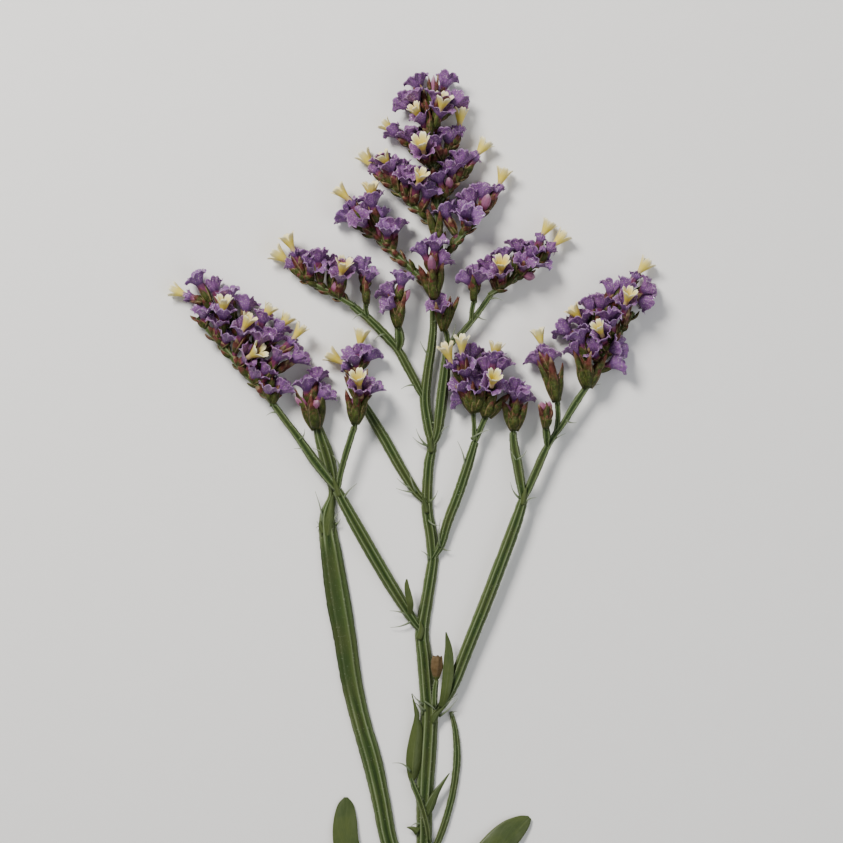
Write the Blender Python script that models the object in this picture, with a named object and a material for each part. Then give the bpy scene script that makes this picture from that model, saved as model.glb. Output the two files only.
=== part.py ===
"""Statice: one cut flowering stem with its winged branches, leaves and papery flower spikes.

The stem lies on a table. +Y runs from the cut end to the tip, +Z is up, and the table is at
height 0. The origin is on the table under the main stem, at the fork of its right branch.
Routes are hand-placed points in millimetres, which the functions below turn into metres.
"""

import math
import random

import bmesh
import bpy
from mathutils import Matrix, Vector

MM = 0.001
SEED = 41

# Clearance between two pieces that meet, and the distance under which corners are one.
SEAT_GAP = 0.3 * MM
MERGE_DISTANCE = 0.0004 * MM

# Flower sizes. Heights are measured from the flower's root on the spike's axis or down from its
# mouth, and shares are of the mouth's radius.
ROOT_SINK = 0.8 * MM
CALYX_THROAT_RADIUS = 1.3 * MM
CALYX_THROAT_DROP = 6.2 * MM
CALYX_MOUTH_RADIUS = 4.5 * MM
CALYX_DEPTH = 3.4 * MM
COROLLA_NECK_RADIUS = 1.2 * MM
COROLLA_NECK_DROP = 1.2 * MM
COROLLA_RISE = 2.2 * MM
COROLLA_LOBE_RADIUS = 3.4 * MM
COROLLA_NOTCH_SHARE = 0.6
COROLLA_DEPTH = 1.6 * MM
BUD_BELLY_RADIUS = 1.35 * MM
BIG_BUD_BELLY_RADIUS = 2.3 * MM
BRACT_DROP = 14.0 * MM
BRACT_LENGTH = 9.5 * MM
BRACT_WIDTH = 2.3 * MM
BRACT_THICKNESS_SHARE = 0.6
BRACT_LEAN = 0.14
BRACT_SEAT = 0.4 * MM
FLOWER_SIDES = 5
BRACT_SIDES = 3

# A flower that points up more steeply than this share of its length hides its bract.
STEEPEST_WITH_BRACT = 0.3

MOUTH_SCATTER = 0.5 * MM
SIZE_SCATTER = 0.12

# Stem sections: (angle, share of the half width) round a stem. A winged stem has a furrow
# between two ribs on top, a wing at each side and a flat underside, which lies on the table.
# The last section is the plain outline round them.
WINGED_SECTION = ((60, 1.0), (90, 0.66), (120, 1.0), (186, 1.05), (232, 1.0), (308, 1.0), (354, 1.05))
TWIG_SECTION = ((55, 1.05), (90, 0.68), (125, 1.05), (215, 1.1), (325, 1.1))
OUTLINE_SECTION = ((60, 1.05), (120, 1.05), (186, 1.1), (232, 1.05), (308, 1.05), (354, 1.1))
RACHIS_SECTION = tuple((angle, 1.0) for angle in range(18, 378, 72))
TIP_SECTION = ((90, 1.0), (210, 1.0), (330, 1.0))
STEM_HEIGHT_SHARE = 0.72
STEM_MOST_HALF_HEIGHT = 2.0 * MM
STEM_STATION_SPACING = 12.0 * MM
RACHIS_STATION_SPACING = 12.0 * MM
RACHIS_ROOT_RADIUS = 0.95 * MM
RACHIS_BELLY_RADIUS = 1.4 * MM
RACHIS_TIP_RADIUS = 0.85 * MM
RACHIS_SWELL_SHARE = 0.015
NODE_TIP_RADIUS = 0.42 * MM

LEAF_THICKNESS = 0.8 * MM
LEAF_ARCH_SHARE = 0.18
LEAF_STATIONS = (0.0, 0.16, 0.32, 0.5, 0.68, 0.84, 0.95, 1.0)
LEAF_STATION_SPACING = 2.0 * MM

SHARP_EDGE_ANGLE = math.radians(35)

GREEN = (0.10, 0.17, 0.05)
LEAF_GREEN = (0.12, 0.20, 0.06)
PURPLE = (0.24, 0.14, 0.33)
BUD_BROWN = (0.30, 0.14, 0.10)

# Stems. Each route is (x, y, height, half width) in millimetres from the root end up, and twigs
# grow from it in the same piece. Node tips are the fine points that the wings end in: (x, y,
# height) of the root, then of the end.
STEMS = {
    "main_stem": {
        "parent": None,
        "route": (
            (-2.4, -102, 1.4, 2.5), (-1.2, -80, 1.45, 2.9), (0.0, -57, 1.45, 3.0), (0.2, -40, 1.45, 3.2),
            (1.2, -22, 1.45, 3.6), (2.0, -7, 1.45, 3.4), (1.3, 2, 1.45, 3.0), (0.2, 16, 1.45, 2.9),
            (-0.8, 27, 1.45, 2.7), (1.2, 40, 1.3, 2.4), (2.8, 50, 1.25, 2.3), (3.6, 57, 1.2, 2.2),
            (2.8, 66, 1.25, 2.3), (1.2, 77, 1.4, 2.2), (1.8, 93, 2.0, 2.0), (3.2, 102, 2.4, 1.9),
            (1.8, 110, 2.8, 2.2), (0.4, 120, 3.4, 2.1), (1.4, 131, 4.2, 1.9), (3.0, 141, 5.0, 1.7),
            (3.8, 150, 5.8, 1.5), (3.8, 157.4, 6.4, 1.4),
        ),
        "twigs": (
            ((1.9, -57, 2.6, 0.9), (1.4, -52, 3.7, 1.3), (0.0, -46, 3.9, 1.4), (-1.9, -40, 3.8, 1.4),
             (-4.0, -35, 3.2, 1.3), (-5.2, -31.4, 2.6, 0.7)),
        ),
        "tips": (
            ((0.2, -2, 2.2), (-4.8, 2.6, 4.2)), ((-0.4, -6, 2.0), (-4.8, -0.6, 2.6)),
            ((2.0, 79, 2.6), (5.6, 84, 3.6)), ((2.2, 56, 2.4), (-1.2, 59.6, 3.0)),
            ((2.0, 101, 3.0), (-3.2, 108.6, 4.0)), ((2.2, 101.6, 2.4), (-4.6, 105.2, 2.2)),
            ((0.0, -44, 2.6), (10.2, -29.4, 4.2)), ((-1.0, -50, 2.4), (-5.6, -51.2, 2.6)),
            ((2.6, 137, 5.0), (-1.6, 143.6, 6.0)),
        ),
    },
    "left_stem": {
        "parent": "main_stem",
        "route": (
            (-1.4, -82, 1.7, 1.0), (-4.8, -74, 1.7, 2.0), (-9.4, -65, 1.8, 3.0), (-14, -57, 1.8, 3.3),
            (-17.4, -40, 1.8, 3.6), (-21, -24, 1.8, 3.9), (-25.6, -8, 1.8, 3.8), (-29.2, 8, 1.8, 4.1),
            (-31.6, 24, 1.8, 4.4), (-34.4, 40, 1.8, 4.7), (-36.8, 56, 1.8, 4.2), (-38.6, 68, 1.8, 3.5),
            (-38.6, 75, 1.8, 2.7), (-36.6, 82.4, 1.8, 1.6), (-37.2, 90, 2.2, 2.6), (-39.2, 98, 3.2, 2.9),
            (-41.4, 105, 4.4, 2.4), (-42.6, 109.6, 5.0, 1.7),
        ),
        "twigs": (),
        "tips": (
            ((-40.2, 70, 2.4), (-43.6, 83.4, 3.0)), ((-37, 70, 2.6), (-33.8, 75.6, 3.0)),
            ((-40.4, 69, 1.6), (-43.4, 68.6, 1.6)),
        ),
    },
    "right_slender_stem": {
        "parent": "main_stem",
        "route": (
            (0.2, -67, 1.3, 0.8), (3.4, -61.5, 1.3, 1.2), (6.4, -55, 1.3, 1.4), (9.4, -46, 1.3, 1.4),
            (11.8, -36, 1.3, 1.4), (13.2, -24, 1.3, 1.5), (12.6, -13, 1.2, 1.2), (10.8, -5, 1.0, 0.7),
        ),
        "twigs": (),
        "tips": (((10.9, -7, 1.4), (13.4, -4.8, 1.4)),),
    },
    "left_branch": {
        "parent": "main_stem",
        "route": (
            (-0.8, 27.2, 1.8, 1.0), (-4.4, 31.8, 2.4, 1.8), (-9.6, 40, 3.4, 2.3), (-17.6, 53.2, 4.8, 2.5),
            (-25.6, 67.2, 6.4, 2.5), (-31.6, 78, 7.4, 2.2), (-34.6, 84, 7.8, 1.8),
        ),
        "twigs": (
            ((-34.6, 84, 7.8, 1.4), (-39.6, 90.2, 8.0, 2.1), (-44.8, 97, 7.8, 2.2), (-50.4, 105.2, 7.4, 1.8),
             (-55.6, 112, 7.2, 1.6), (-60, 118, 7.2, 1.5)),
            ((-34.6, 84, 7.8, 1.3), (-33.2, 91.2, 8.4, 1.4), (-30.8, 100, 8.8, 1.5), (-27.8, 109.2, 9.0, 1.5)),
        ),
        "tips": (
            ((-5.8, 33.4, 2.8), (-13.8, 35.6, 3.2)), ((-4.6, 31.6, 2.4), (-13.6, 28.8, 1.6)),
            ((-32.6, 80, 8), (-26.8, 86.6, 9)), ((-33.4, 92, 8.4), (-36.4, 98, 9.4)),
            ((-50, 104, 8), (-47.6, 108.4, 9.6)),
        ),
    },
    "middle_left_branch": {
        "parent": "main_stem",
        "route": (
            (1.2, 78.6, 2.0, 1.0), (-3.6, 83.6, 2.3, 1.7), (-9.6, 93.2, 2.6, 2.1), (-15.6, 104, 3.0, 2.1),
            (-21.6, 114, 3.6, 1.8), (-24, 118, 4.0, 1.5),
        ),
        "twigs": (),
        "tips": (
            ((-4.0, 84.2, 2.4), (-10.8, 88.6, 3.2)), ((-3.4, 83.0, 2.2), (-11.2, 84.6, 1.8)),
            ((-3.0, 83, 3.0), (-5.6, 90.2, 5.0)),
        ),
    },
    "upper_left_branch": {
        "parent": "main_stem",
        "route": (
            (0.3, 120, 3.5, 1.0), (-2.8, 126, 4.0, 1.6), (-6.4, 132.8, 4.6, 1.8), (-10.4, 140, 5.2, 1.6),
            (-15.6, 146, 5.6, 1.8), (-22.4, 152.8, 6.2, 1.6), (-26, 155.6, 6.5, 1.5), (-28.8, 158, 6.7, 1.4),
        ),
        "twigs": (
            ((-10.4, 140, 5.2, 1.1), (-9.7, 142.8, 6.6, 2.0), (-9.8, 146, 7.8, 2.2), (-10.4, 149.6, 8.6, 1.4)),
            ((-22.4, 152.8, 6.2, 1.0), (-23.2, 156, 7.6, 1.1), (-23.2, 158.4, 8.6, 1.1)),
        ),
        "tips": (((-3.4, 126, 4.0), (-9.2, 124.4, 4.4)),),
    },
    "right_branch": {
        "parent": "main_stem",
        "route": (
            (2.2, -7.5, 1.8, 1.0), (6.4, -3.4, 3.6, 1.5), (9.4, 1.4, 4.8, 2.0), (12.8, 8.8, 5.0, 2.4),
            (16.8, 19.2, 5.2, 2.5), (24.8, 39.2, 5.8, 2.6), (31.2, 56, 6.2, 2.6), (36.8, 71.2, 6.6, 2.4),
            (39.6, 80, 6.8, 1.9),
        ),
        "twigs": (
            ((39.6, 80, 6.8, 1.4), (38.8, 86, 6.8, 2.1), (37.2, 95.2, 6.6, 2.3), (36, 102, 6.4, 2.0),
             (35.6, 107.2, 6.4, 1.6)),
            ((39.6, 80, 6.8, 1.4), (42.4, 86, 6.8, 1.8), (46.4, 95.2, 6.8, 1.9), (49.2, 101.2, 6.8, 1.6),
             (52.8, 106.8, 6.8, 1.4), (55.4, 110.2, 6.8, 1.4), (60.4, 118.4, 7.0, 1.7), (65.2, 125.4, 7.2, 1.4)),
            ((52.8, 106.8, 6.8, 1.1), (53.6, 113.6, 7.2, 1.2), (53.2, 119.2, 7.6, 1.2)),
            ((49.2, 101.2, 6.8, 1.0), (49.0, 105.6, 8.6, 1.8), (48.6, 109.4, 9.4, 1.5)),
        ),
        "tips": (
            ((5.6, -6, 3.0), (13.6, 2.4, 3.4)), ((6.4, -5.4, 2.4), (12.4, 0.8, 6.4)),
            ((38.6, 80.4, 6.4), (34.6, 87.2, 6.6)), ((37.6, 93, 6.8), (34.0, 100.4, 7.4)),
            ((49.6, 101, 7), (56.6, 106.6, 5.6)), ((63.6, 123, 7.2), (70.6, 126.4, 8.4)),
        ),
    },
    "middle_right_branch": {
        "parent": "main_stem",
        "route": (
            (3.6, 56.4, 1.8, 1.0), (6.8, 62, 2.5, 1.6), (9.6, 71.6, 3.4, 1.9), (13.6, 82, 4.2, 2.0),
            (17.6, 94, 5.0, 1.9), (20.4, 103.2, 5.6, 1.5),
        ),
        "twigs": (
            ((20.4, 103.2, 5.6, 1.2), (20, 110, 6.2, 1.1), (19.6, 115.2, 6.6, 1.1)),
            ((20.4, 103.2, 5.6, 1.2), (23, 109.6, 6.2, 1.4), (25.2, 114.4, 6.6, 1.3)),
        ),
        "tips": (
            ((7.0, 61.2, 2.4), (11.0, 59.8, 2.2)), ((6.4, 61, 3.2), (6.6, 72.4, 4.4)),
            ((16.6, 92, 5.4), (13.4, 103.6, 6.4)), ((18.8, 104.4, 5.8), (26.6, 108.2, 7.6)),
        ),
    },
    "centre_branch": {
        "parent": "main_stem",
        "route": (
            (3.2, 101.4, 2.6, 1.0), (5.4, 107, 3.6, 1.7), (6.6, 116, 4.6, 2.2), (7.8, 126, 5.4, 2.2),
            (8.9, 135.2, 6.0, 1.9), (9.6, 141.2, 6.4, 1.5),
        ),
        "twigs": (
            ((9.6, 141.2, 6.4, 1.3), (13.6, 145.2, 6.5, 1.3), (18.8, 151.2, 6.6, 1.4), (23.6, 157.6, 6.8, 1.3),
             (26.8, 162.2, 7.0, 1.2)),
            ((18.8, 151.2, 6.6, 1.0), (19.2, 156, 7.8, 1.1), (20, 159.6, 8.6, 1.1)),
            ((9.6, 141.2, 6.4, 1.2), (9.2, 145.6, 7.6, 1.2), (8.2, 148.6, 8.2, 1.2)),
        ),
        "tips": (
            ((6.0, 106, 3.6), (10.2, 109.8, 3.6)), ((9.8, 142, 7.0), (12.6, 150.4, 8.4)),
            ((25.4, 160, 7), (31.4, 159.8, 6.6)),
        ),
    },
}

# Flower spikes. A route is (x, y, height) in millimetres along the spike's axis. A row is the
# line its mouths stand on, in the same measure, where its roots start and end as shares of the
# route, and its flowers: c for a papery calyx, o for one with its corolla open, f for a narrow
# young calyx with an open corolla, b for a bud and B for a big one.
SPIKES = {
    "top_spikes": (
        {"route": ((3.8, 157.8, 6.4), (4.6, 170, 7.2), (6.0, 184, 7.8), (5.2, 198, 8.0), (3.8, 214, 8.2),
                   (3.2, 226, 8.6), (3.1, 237, 9.0)),
         "rows": ((((-9.2, 241.2, 3.0), (-4, 250.2, 7), (3.6, 249.5, 11), (10, 250.6, 7), (15.2, 241.6, 3.0)),
                   0.93, 0.93, "ccbcc"),
                  (((-4.8, 243.2, 13), (6.8, 243.6, 13)), 0.92, 0.93, "cc"),
                  (((-2.4, 234.8, 15), (7.2, 238.4, 16)), 0.86, 0.9, "oo"))},
        {"route": ((3.8, 212, 8.2), (-2.4, 218.4, 7.6), (-6.0, 222, 7.4)),
         "rows": ((((-14.4, 229.2, 5.5), (-7.2, 228.8, 9), (-1.2, 228, 12)), 1.0, 0.2, "occ"),
                  (((-0.4, 220.8, 16),), 0.2, 0.2, "o"))},
        {"route": ((3.8, 212, 8.2), (8.8, 218.8, 7.6), (12.0, 222, 7.4)),
         "rows": ((((15.4, 233, 6), (10, 229.4, 8), (4, 227.2, 12)), 1.0, 0.3, "fcc"),)},
        {"route": ((5.6, 188, 7.9), (-5.6, 199, 7.0), (-10.8, 204, 6.6), (-15.2, 207.4, 6.6)),
         "rows": ((((-23.2, 216, 5), (-18, 218.8, 8), (-14.8, 216, 12), (-9.6, 216, 6), (-3, 213.6, 9)),
                   1.0, 0.4, "fcocc"),
                  (((-7.6, 211.5, 14), (-2.6, 208, 16), (2.4, 206, 14)), 0.6, 0.3, "coc"))},
        {"route": ((5.2, 196, 8.0), (8.4, 202, 7.6), (12.2, 206.8, 7.0), (15.6, 209.6, 6.8)),
         "rows": ((((22.8, 220.4, 5.5), (16, 219.6, 7), (11.2, 216, 10), (5, 212.6, 12)), 1.0, 0.3, "fccc"),
                  (((10, 208.6, 13),), 0.5, 0.5, "b"))},
        {"route": ((4.2, 163, 6.8), (-4.0, 171.2, 6.4), (-10.4, 177.2, 6.4), (-19.6, 185.6, 6.4),
                   (-26, 189.6, 6.4)),
         "rows": ((((-34, 196.6, 5), (-30.8, 202.8, 8), (-25.4, 199.4, 5.5), (-21.4, 203, 11),
                    (-17.4, 197.4, 6), (-10.8, 193.6, 7)), 1.0, 0.5, "cfcocc"),
                  (((-26.6, 194, 13), (-14.6, 190.4, 13)), 0.85, 0.6, "cc"))},
        {"route": ((5.0, 174, 7.2), (11.2, 181.2, 6.6), (16.8, 188, 6.4), (22.4, 194, 6.4), (25.2, 196.4, 6.4)),
         "rows": ((((31.6, 208.4, 5.5), (24, 207.2, 8), (17.6, 204, 6), (14.6, 198, 11), (7.4, 198.6, 9)),
                   1.0, 0.35, "fcccc"),
                  (((25.4, 202.4, 12), (18.8, 194.6, 13)), 0.85, 0.5, "bc"))},
        {"route": ((4.0, 160, 6.8), (3.6, 166, 10.4), (3.2, 171.6, 12.2)),
         "rows": ((((-2.2, 182.6, 13), (4.8, 185.2, 16), (9, 179, 12)), 0.95, 0.85, "ccc"),
                  (((3, 177, 20),), 0.8, 0.8, "b"))},
    ),
    "upper_left_spike": (
        {"route": ((-29.1, 158.3, 6.7), (-37.6, 163.2, 6.6), (-45.6, 167.2, 6.4), (-49.4, 169.8, 6.4)),
         "rows": ((((-56.4, 178.4, 5.5), (-53, 182.4, 8), (-47.6, 180, 5), (-42.8, 181, 9), (-36.4, 178.4, 5),
                    (-32.6, 177.6, 10)), 1.0, 0.15, "ffcccc"),
                  (((-43, 175.2, 13), (-32.4, 172.2, 15)), 0.8, 0.2, "co"),
                  (((-34, 167.2, 11),), 0.3, 0.3, "b"))},
    ),
    "upper_left_side_spike": (
        {"route": ((-23.2, 159.1, 8.9), (-23.6, 163.6, 8.6), (-23.2, 166, 8.4)),
         "rows": ((((-26.4, 176, 5.4), (-20.8, 172.6, 11)), 0.9, 0.9, "cc"),)},
    ),
    "small_spike": (
        {"route": ((-10.4, 150, 8.8), (-10.0, 155.2, 9.6), (-9.8, 159.6, 10.2)),
         "rows": ((((-8.8, 171.2, 12), (-16.2, 166, 8), (-16.2, 159.6, 13)), 1.0, 0.5, "ccc"),
                  (((-5.4, 164.5, 9),), 0.7, 0.7, "b"))},
    ),
    "upper_right_spike": (
        {"route": ((27.2, 162.8, 7.0), (33.6, 167, 6.8), (40.4, 171.4, 6.6), (45.4, 174.6, 6.6)),
         "rows": ((((54, 184, 5.5), (47.6, 188.4, 6), (44.4, 182.8, 11), (38, 184.4, 5), (30.8, 181.4, 8),
                    (24.8, 176.8, 6)), 1.0, 0.1, "ffcccc"),
                  (((48.6, 177.8, 10), (40.6, 176.6, 14), (31, 173.8, 15)), 0.95, 0.2, "cco"),
                  (((44, 168.4, 9),), 0.6, 0.6, "b"))},
    ),
    "upper_right_side_spike": (
        {"route": ((20.1, 160.2, 8.9), (20.1, 163.2, 8.8), (20.4, 164.6, 8.6)),
         "rows": ((((15.6, 171.6, 8), (23.4, 172.2, 12)), 0.8, 0.9, "cc"),)},
    ),
    "centre_buds": (
        {"route": ((8.1, 149, 8.4), (7.6, 151.6, 8.8), (7.4, 153.4, 9.0)),
         "rows": ((((5.2, 160, 14), (11.4, 159.4, 11)), 0.9, 0.7, "cb"),)},
    ),
    "left_spike": (
        {"route": ((-60.3, 118.4, 7.2), (-71.6, 131.2, 6.6), (-83.0, 144.4, 6.4), (-90.6, 153.0, 6.4)),
         "rows": ((((-88, 158, 11), (-79.6, 157.4, 14), (-71.6, 151, 15), (-63.8, 147.6, 14),
                    (-55.8, 140.8, 13)), 0.92, 0.2, "coocc"),
                  (((-77.4, 148.4, 10), (-68, 138.8, 14), (-60.6, 134.2, 11), (-54, 127, 8)), 0.7, 0.05,
                   "cocc"),
                  (((-81.6, 154, 12), (-66.5, 152.5, 9), (-57.4, 148, 7)), 0.8, 0.35, "ccc"),
                  (((-65.5, 133.6, 9), (-60.4, 127.6, 11)), 0.3, 0.1, "cc"))},
        {"route": ((-60.8, 119.0, 7.2), (-61.6, 128, 7.6), (-68.6, 140, 7.2), (-79.4, 151.4, 6.8),
                   (-88.2, 159, 6.6)),
         "rows": ((((-98, 163, 3.2), (-92.6, 170.4, 8), (-85, 167.4, 3.0), (-78.4, 164.8, 8), (-70.8, 161.2, 4),
                    (-62.8, 155.8, 9), (-56, 151.2, 5), (-49.2, 146, 9), (-47.4, 139.2, 8)), 1.0, 0.2,
                   "fccccoofc"),)},
    ),
    "left_lower_spike": (
        {"route": ((-42.8, 110, 5.2), (-45.2, 115.2, 6.0), (-46.2, 118.6, 6.6)),
         "rows": ((((-47.6, 130, 8), (-41.8, 132.4, 2.6), (-37.2, 125, 7)), 1.0, 0.8, "ccc"),
                  (((-51.6, 121, 9), (-42.6, 119.8, 14)), 0.7, 0.6, "bb"))},
    ),
    "middle_left_front_spike": (
        {"route": ((-27.7, 109.6, 9.2), (-26.2, 116.4, 11.0), (-25.8, 119.4, 12.0)),
         "rows": ((((-19, 127.6, 12), (-25.4, 127.6, 20)), 0.8, 0.9, "co"),
                  (((-31.4, 120.4, 12),), 0.5, 0.5, "b"))},
    ),
    "middle_left_back_spike": (
        {"route": ((-24.5, 118.9, 4.3), (-25.4, 126, 5.4), (-26, 132, 6.4)),
         "rows": ((((-35, 137.6, 5.5), (-29, 139.6, 11), (-26.6, 144.8, 6), (-20, 141.2, 7)), 0.75, 1.0,
                   "fcfc"),)},
    ),
    "middle_right_spikes": (
        {"route": ((19.6, 115.9, 6.8), (18.6, 121.2, 7.0), (17.4, 126, 7.2)),
         "rows": ((((8.6, 137.6, 13), (13.6, 141.6, 12.6), (19.4, 142.4, 5.5)), 0.85, 1.0, "ffc"),
                  (((12.6, 128.2, 11), (15.8, 135, 14), (21.4, 133.4, 9.6)), 0.4, 0.9, "ccc"),
                  (((11.4, 122.4, 7),), 0.4, 0.4, "c"))},
        {"route": ((19.7, 116.8, 6.8), (24.0, 119.6, 7.0), (26.4, 123.4, 7.2)),
         "rows": ((((24.2, 136.2, 6), (28.6, 140, 9), (32.2, 137.2, 7)), 0.8, 1.0, "coc"),
                  (((28, 127.8, 17), (21.4, 127.6, 14)), 0.8, 0.4, "oc"))},
    ),
    "right_inner_spike": (
        {"route": ((35.6, 107.6, 6.4), (36, 113.4, 6.8), (36.4, 116.6, 7.0)),
         "rows": ((((34.6, 127.6, 4.6), (37.8, 126.4, 12), (42, 124, 6)), 0.8, 1.0, "ccc"),
                  (((31.4, 118.6, 9),), 0.4, 0.4, "b"))},
    ),
    "right_small_spike": (
        {"route": ((53.2, 119.6, 7.6), (51.6, 127.2, 7.4), (49.8, 131.6, 7.2)),
         "rows": ((((42.2, 139, 6), (46, 145.4, 9), (50.2, 141.2, 6)), 0.8, 1.0, "cfc"),
                  (((55.2, 131, 10),), 0.3, 0.3, "b"))},
    ),
    "right_bud": (
        {"route": ((48.6, 109.8, 9.6), (48.4, 111.8, 9.8), (48.3, 113.4, 10.0)),
         "rows": ((((46.4, 119.8, 10), (50, 119.4, 11)), 0.8, 0.8, "bb"),)},
    ),
    "right_spike": (
        {"route": ((65.4, 125.8, 7.2), (70.0, 135.6, 6.6), (77.4, 146.2, 6.4), (83.8, 155.2, 6.4)),
         "rows": ((((58.6, 143, 9), (66, 141, 13), (70.8, 147.4, 16), (74.4, 154.8, 13), (80.8, 161.4, 15)),
                   0.05, 0.85, "ccoco"),
                  (((80.2, 136, 6), (79.6, 142.6, 9)), 0.15, 0.4, "cc"),
                  (((60.6, 148.6, 11), (66.4, 153.2, 10), (72.4, 157.4, 12)), 0.1, 0.6, "ccc"))},
        {"route": ((65.6, 126.4, 7.2), (63.8, 135, 7.4), (66.6, 145, 7.2), (74.6, 155, 6.8), (82.4, 161, 6.6)),
         "rows": ((((54, 150.4, 5), (61.6, 155.4, 9), (66, 161, 4), (72, 162.6, 9), (76.4, 168.4, 3.2),
                    (82, 168.6, 10), (87.2, 173, 5), (91.6, 166, 8), (90.8, 159.2, 3.2)), 0.3, 1.0,
                   "coccccfcc"),)},
    ),
    "axil_bud": (
        {"route": ((4.3, -1.0, 4.9), (4.4, 4, 5.6), (5.0, 8, 6.4)),
         "rows": ((((5.4, 17.4, 6.8),), 1.0, 1.0, "B"),)},
    ),
}

# Leaves. The midrib is (x, y, height) in millimetres from the base to the tip, and the outline
# is (share of the length, half width to the left, half width to the right) in millimetres.
LEAVES = {
    "lower_left_leaf": {
        "parent": "main_stem",
        "midrib": ((-2.6, -91, 2.0), (-16, -84, 5.0), (-27, -72, 5.2), (-31.2, -56, 3.0), (-31.3, -39.3, 1.2)),
        "outline": ((0.0, 1.2, 1.2), (0.16, 3.0, 2.2), (0.32, 4.6, 4.6), (0.5, 5.0, 6.2), (0.68, 5.4, 5.0),
                    (0.84, 4.9, 4.7), (0.95, 3.3, 3.2), (1.0, 0.7, 0.7)),
    },
    "lower_right_leaf": {
        "parent": "main_stem",
        "midrib": ((-0.6, -93, 2.0), (11, -80, 5.0), (21, -69, 5.6), (31.8, -57.4, 3.6), (42.4, -47.4, 1.2)),
        "outline": ((0.0, 1.2, 1.2), (0.16, 2.2, 3.0), (0.32, 4.2, 4.0), (0.5, 6.0, 4.4), (0.68, 7.0, 4.8),
                    (0.84, 6.3, 4.2), (0.95, 3.6, 2.6), (1.0, 0.8, 0.8)),
    },
    "stem_wing_leaf": {
        "parent": "main_stem",
        "midrib": ((-4.4, -30.4, 2.6), (-4.7, -26.4, 3.2), (-4.6, -20, 3.4), (-3.9, -13, 3.2), (-2.8, -7.6, 2.8)),
        "outline": ((0.0, 1.6, 1.6), (0.16, 2.3, 2.4), (0.32, 2.5, 2.6), (0.5, 2.2, 2.5), (0.68, 1.6, 2.2),
                    (0.84, 1.0, 1.6), (0.95, 0.6, 0.8), (1.0, 0.3, 0.3)),
    },
    "left_axil_leaf": {
        "parent": "left_branch",
        "midrib": ((-5.6, 33.6, 3.0), (-5.4, 38.4, 6.4), (-6.2, 42.4, 7.2), (-6.9, 45.6, 7.4), (-6.9, 48.4, 7.2)),
        "outline": ((0.0, 0.8, 0.8), (0.16, 1.1, 1.0), (0.32, 1.3, 1.2), (0.5, 1.4, 1.2), (0.68, 1.2, 1.1),
                    (0.84, 0.9, 0.9), (0.95, 0.5, 0.5), (1.0, 0.2, 0.2)),
    },
    "right_axil_leaf": {
        "parent": "right_branch",
        "midrib": ((6.8, -3.2, 4.4), (8.5, 3, 7.2), (9.6, 11, 7.8), (9.8, 20, 7.4), (8.8, 27.2, 7.0)),
        "outline": ((0.0, 1.0, 1.0), (0.16, 1.6, 1.6), (0.32, 2.0, 2.1), (0.5, 2.1, 2.2), (0.68, 1.8, 1.9),
                    (0.84, 1.1, 1.2), (0.95, 0.5, 0.5), (1.0, 0.2, 0.2)),
    },
}


def clear_scene():
    for obj in list(bpy.data.objects):
        bpy.data.objects.remove(obj)


def make_material(name, colour, roughness):
    material = bpy.data.materials.new(name)
    material.use_nodes = True
    shader = material.node_tree.nodes["Principled BSDF"]
    shader.inputs["Base Color"].default_value = (*colour, 1)
    shader.inputs["Roughness"].default_value = roughness
    return material


def object_from(bm, name, collection=None):
    """A new object that holds this bmesh, with its faces pointing out."""
    bmesh.ops.recalc_face_normals(bm, faces=bm.faces)
    mesh = bpy.data.meshes.new(name)
    bm.to_mesh(mesh)
    bm.free()
    obj = bpy.data.objects.new(name, mesh)
    (collection or bpy.context.scene.collection).objects.link(obj)
    return obj


def smooth_curve(points, spacing):
    """Points no further apart than spacing on a smooth curve through points of any length."""
    ends = [2 * points[0] - points[1], *points, 2 * points[-1] - points[-2]]
    found = []
    for a, b, c, d in zip(ends, ends[1:], ends[2:], ends[3:]):
        steps = max(1, math.ceil((c - b).length / spacing))
        for step in range(steps):
            t = step / steps
            found.append(0.5 * (2 * b + (c - a) * t + (2 * a - 5 * b + 4 * c - d) * t * t
                                + (3 * b - a - 3 * c + d) * t ** 3))
    return [*found, points[-1].copy()]


def frame_at(place, along, across, rise):
    """A matrix at place whose Z runs along, X lies flat and Y points up, scaled across and up."""
    along = along.normalized()
    side = along.cross(Vector((0, 0, 1))).normalized()
    up = side.cross(along)
    turn = Matrix((side * across, up * rise, along)).transposed().to_4x4()
    return Matrix.Translation(place) @ turn


def extrude_cap(bm, face, keep=False):
    """Extrudes a face, drops the old one unless it is kept, and gives the new one."""
    grown = bmesh.ops.extrude_face_region(bm, geom=[face])["geom"]
    if not keep:
        bmesh.ops.delete(bm, geom=[face], context="FACES_ONLY")
    return next(item for item in grown if isinstance(item, bmesh.types.BMFace))


def sweep(section, frames):
    """A bmesh with this section, (angle, share) pairs, carried through a list of frames."""
    bm = bmesh.new()
    ring = []
    for angle, share in section:
        turn = math.radians(angle)
        corner = Vector((share * math.cos(turn), share * math.sin(turn), 0))
        ring.append(bm.verts.new(frames[0] @ corner))
    face = bm.faces.new(ring)
    for number in range(1, len(frames)):
        step = frames[number] @ frames[number - 1].inverted()
        face = extrude_cap(bm, face, keep=number == 1)
        bmesh.ops.transform(bm, matrix=step, verts=face.verts)
    bmesh.ops.triangulate(bm, faces=bm.faces)
    return bm


def stem_frames(route, spacing, grow=0.0):
    """Frames along a winged stem whose route is (x, y, height, half width) in millimetres."""
    stations = smooth_curve([Vector(point) * MM for point in route], spacing)
    places = [station.to_3d() for station in stations]
    frames = []
    for number, station in enumerate(stations):
        before = places[max(number - 1, 0)]
        after = places[min(number + 1, len(places) - 1)]
        half_height = min(station.w * STEM_HEIGHT_SHARE, STEM_MOST_HALF_HEIGHT)
        frames.append(frame_at(places[number], after - before, station.w + grow, half_height + grow))
    return frames


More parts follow.
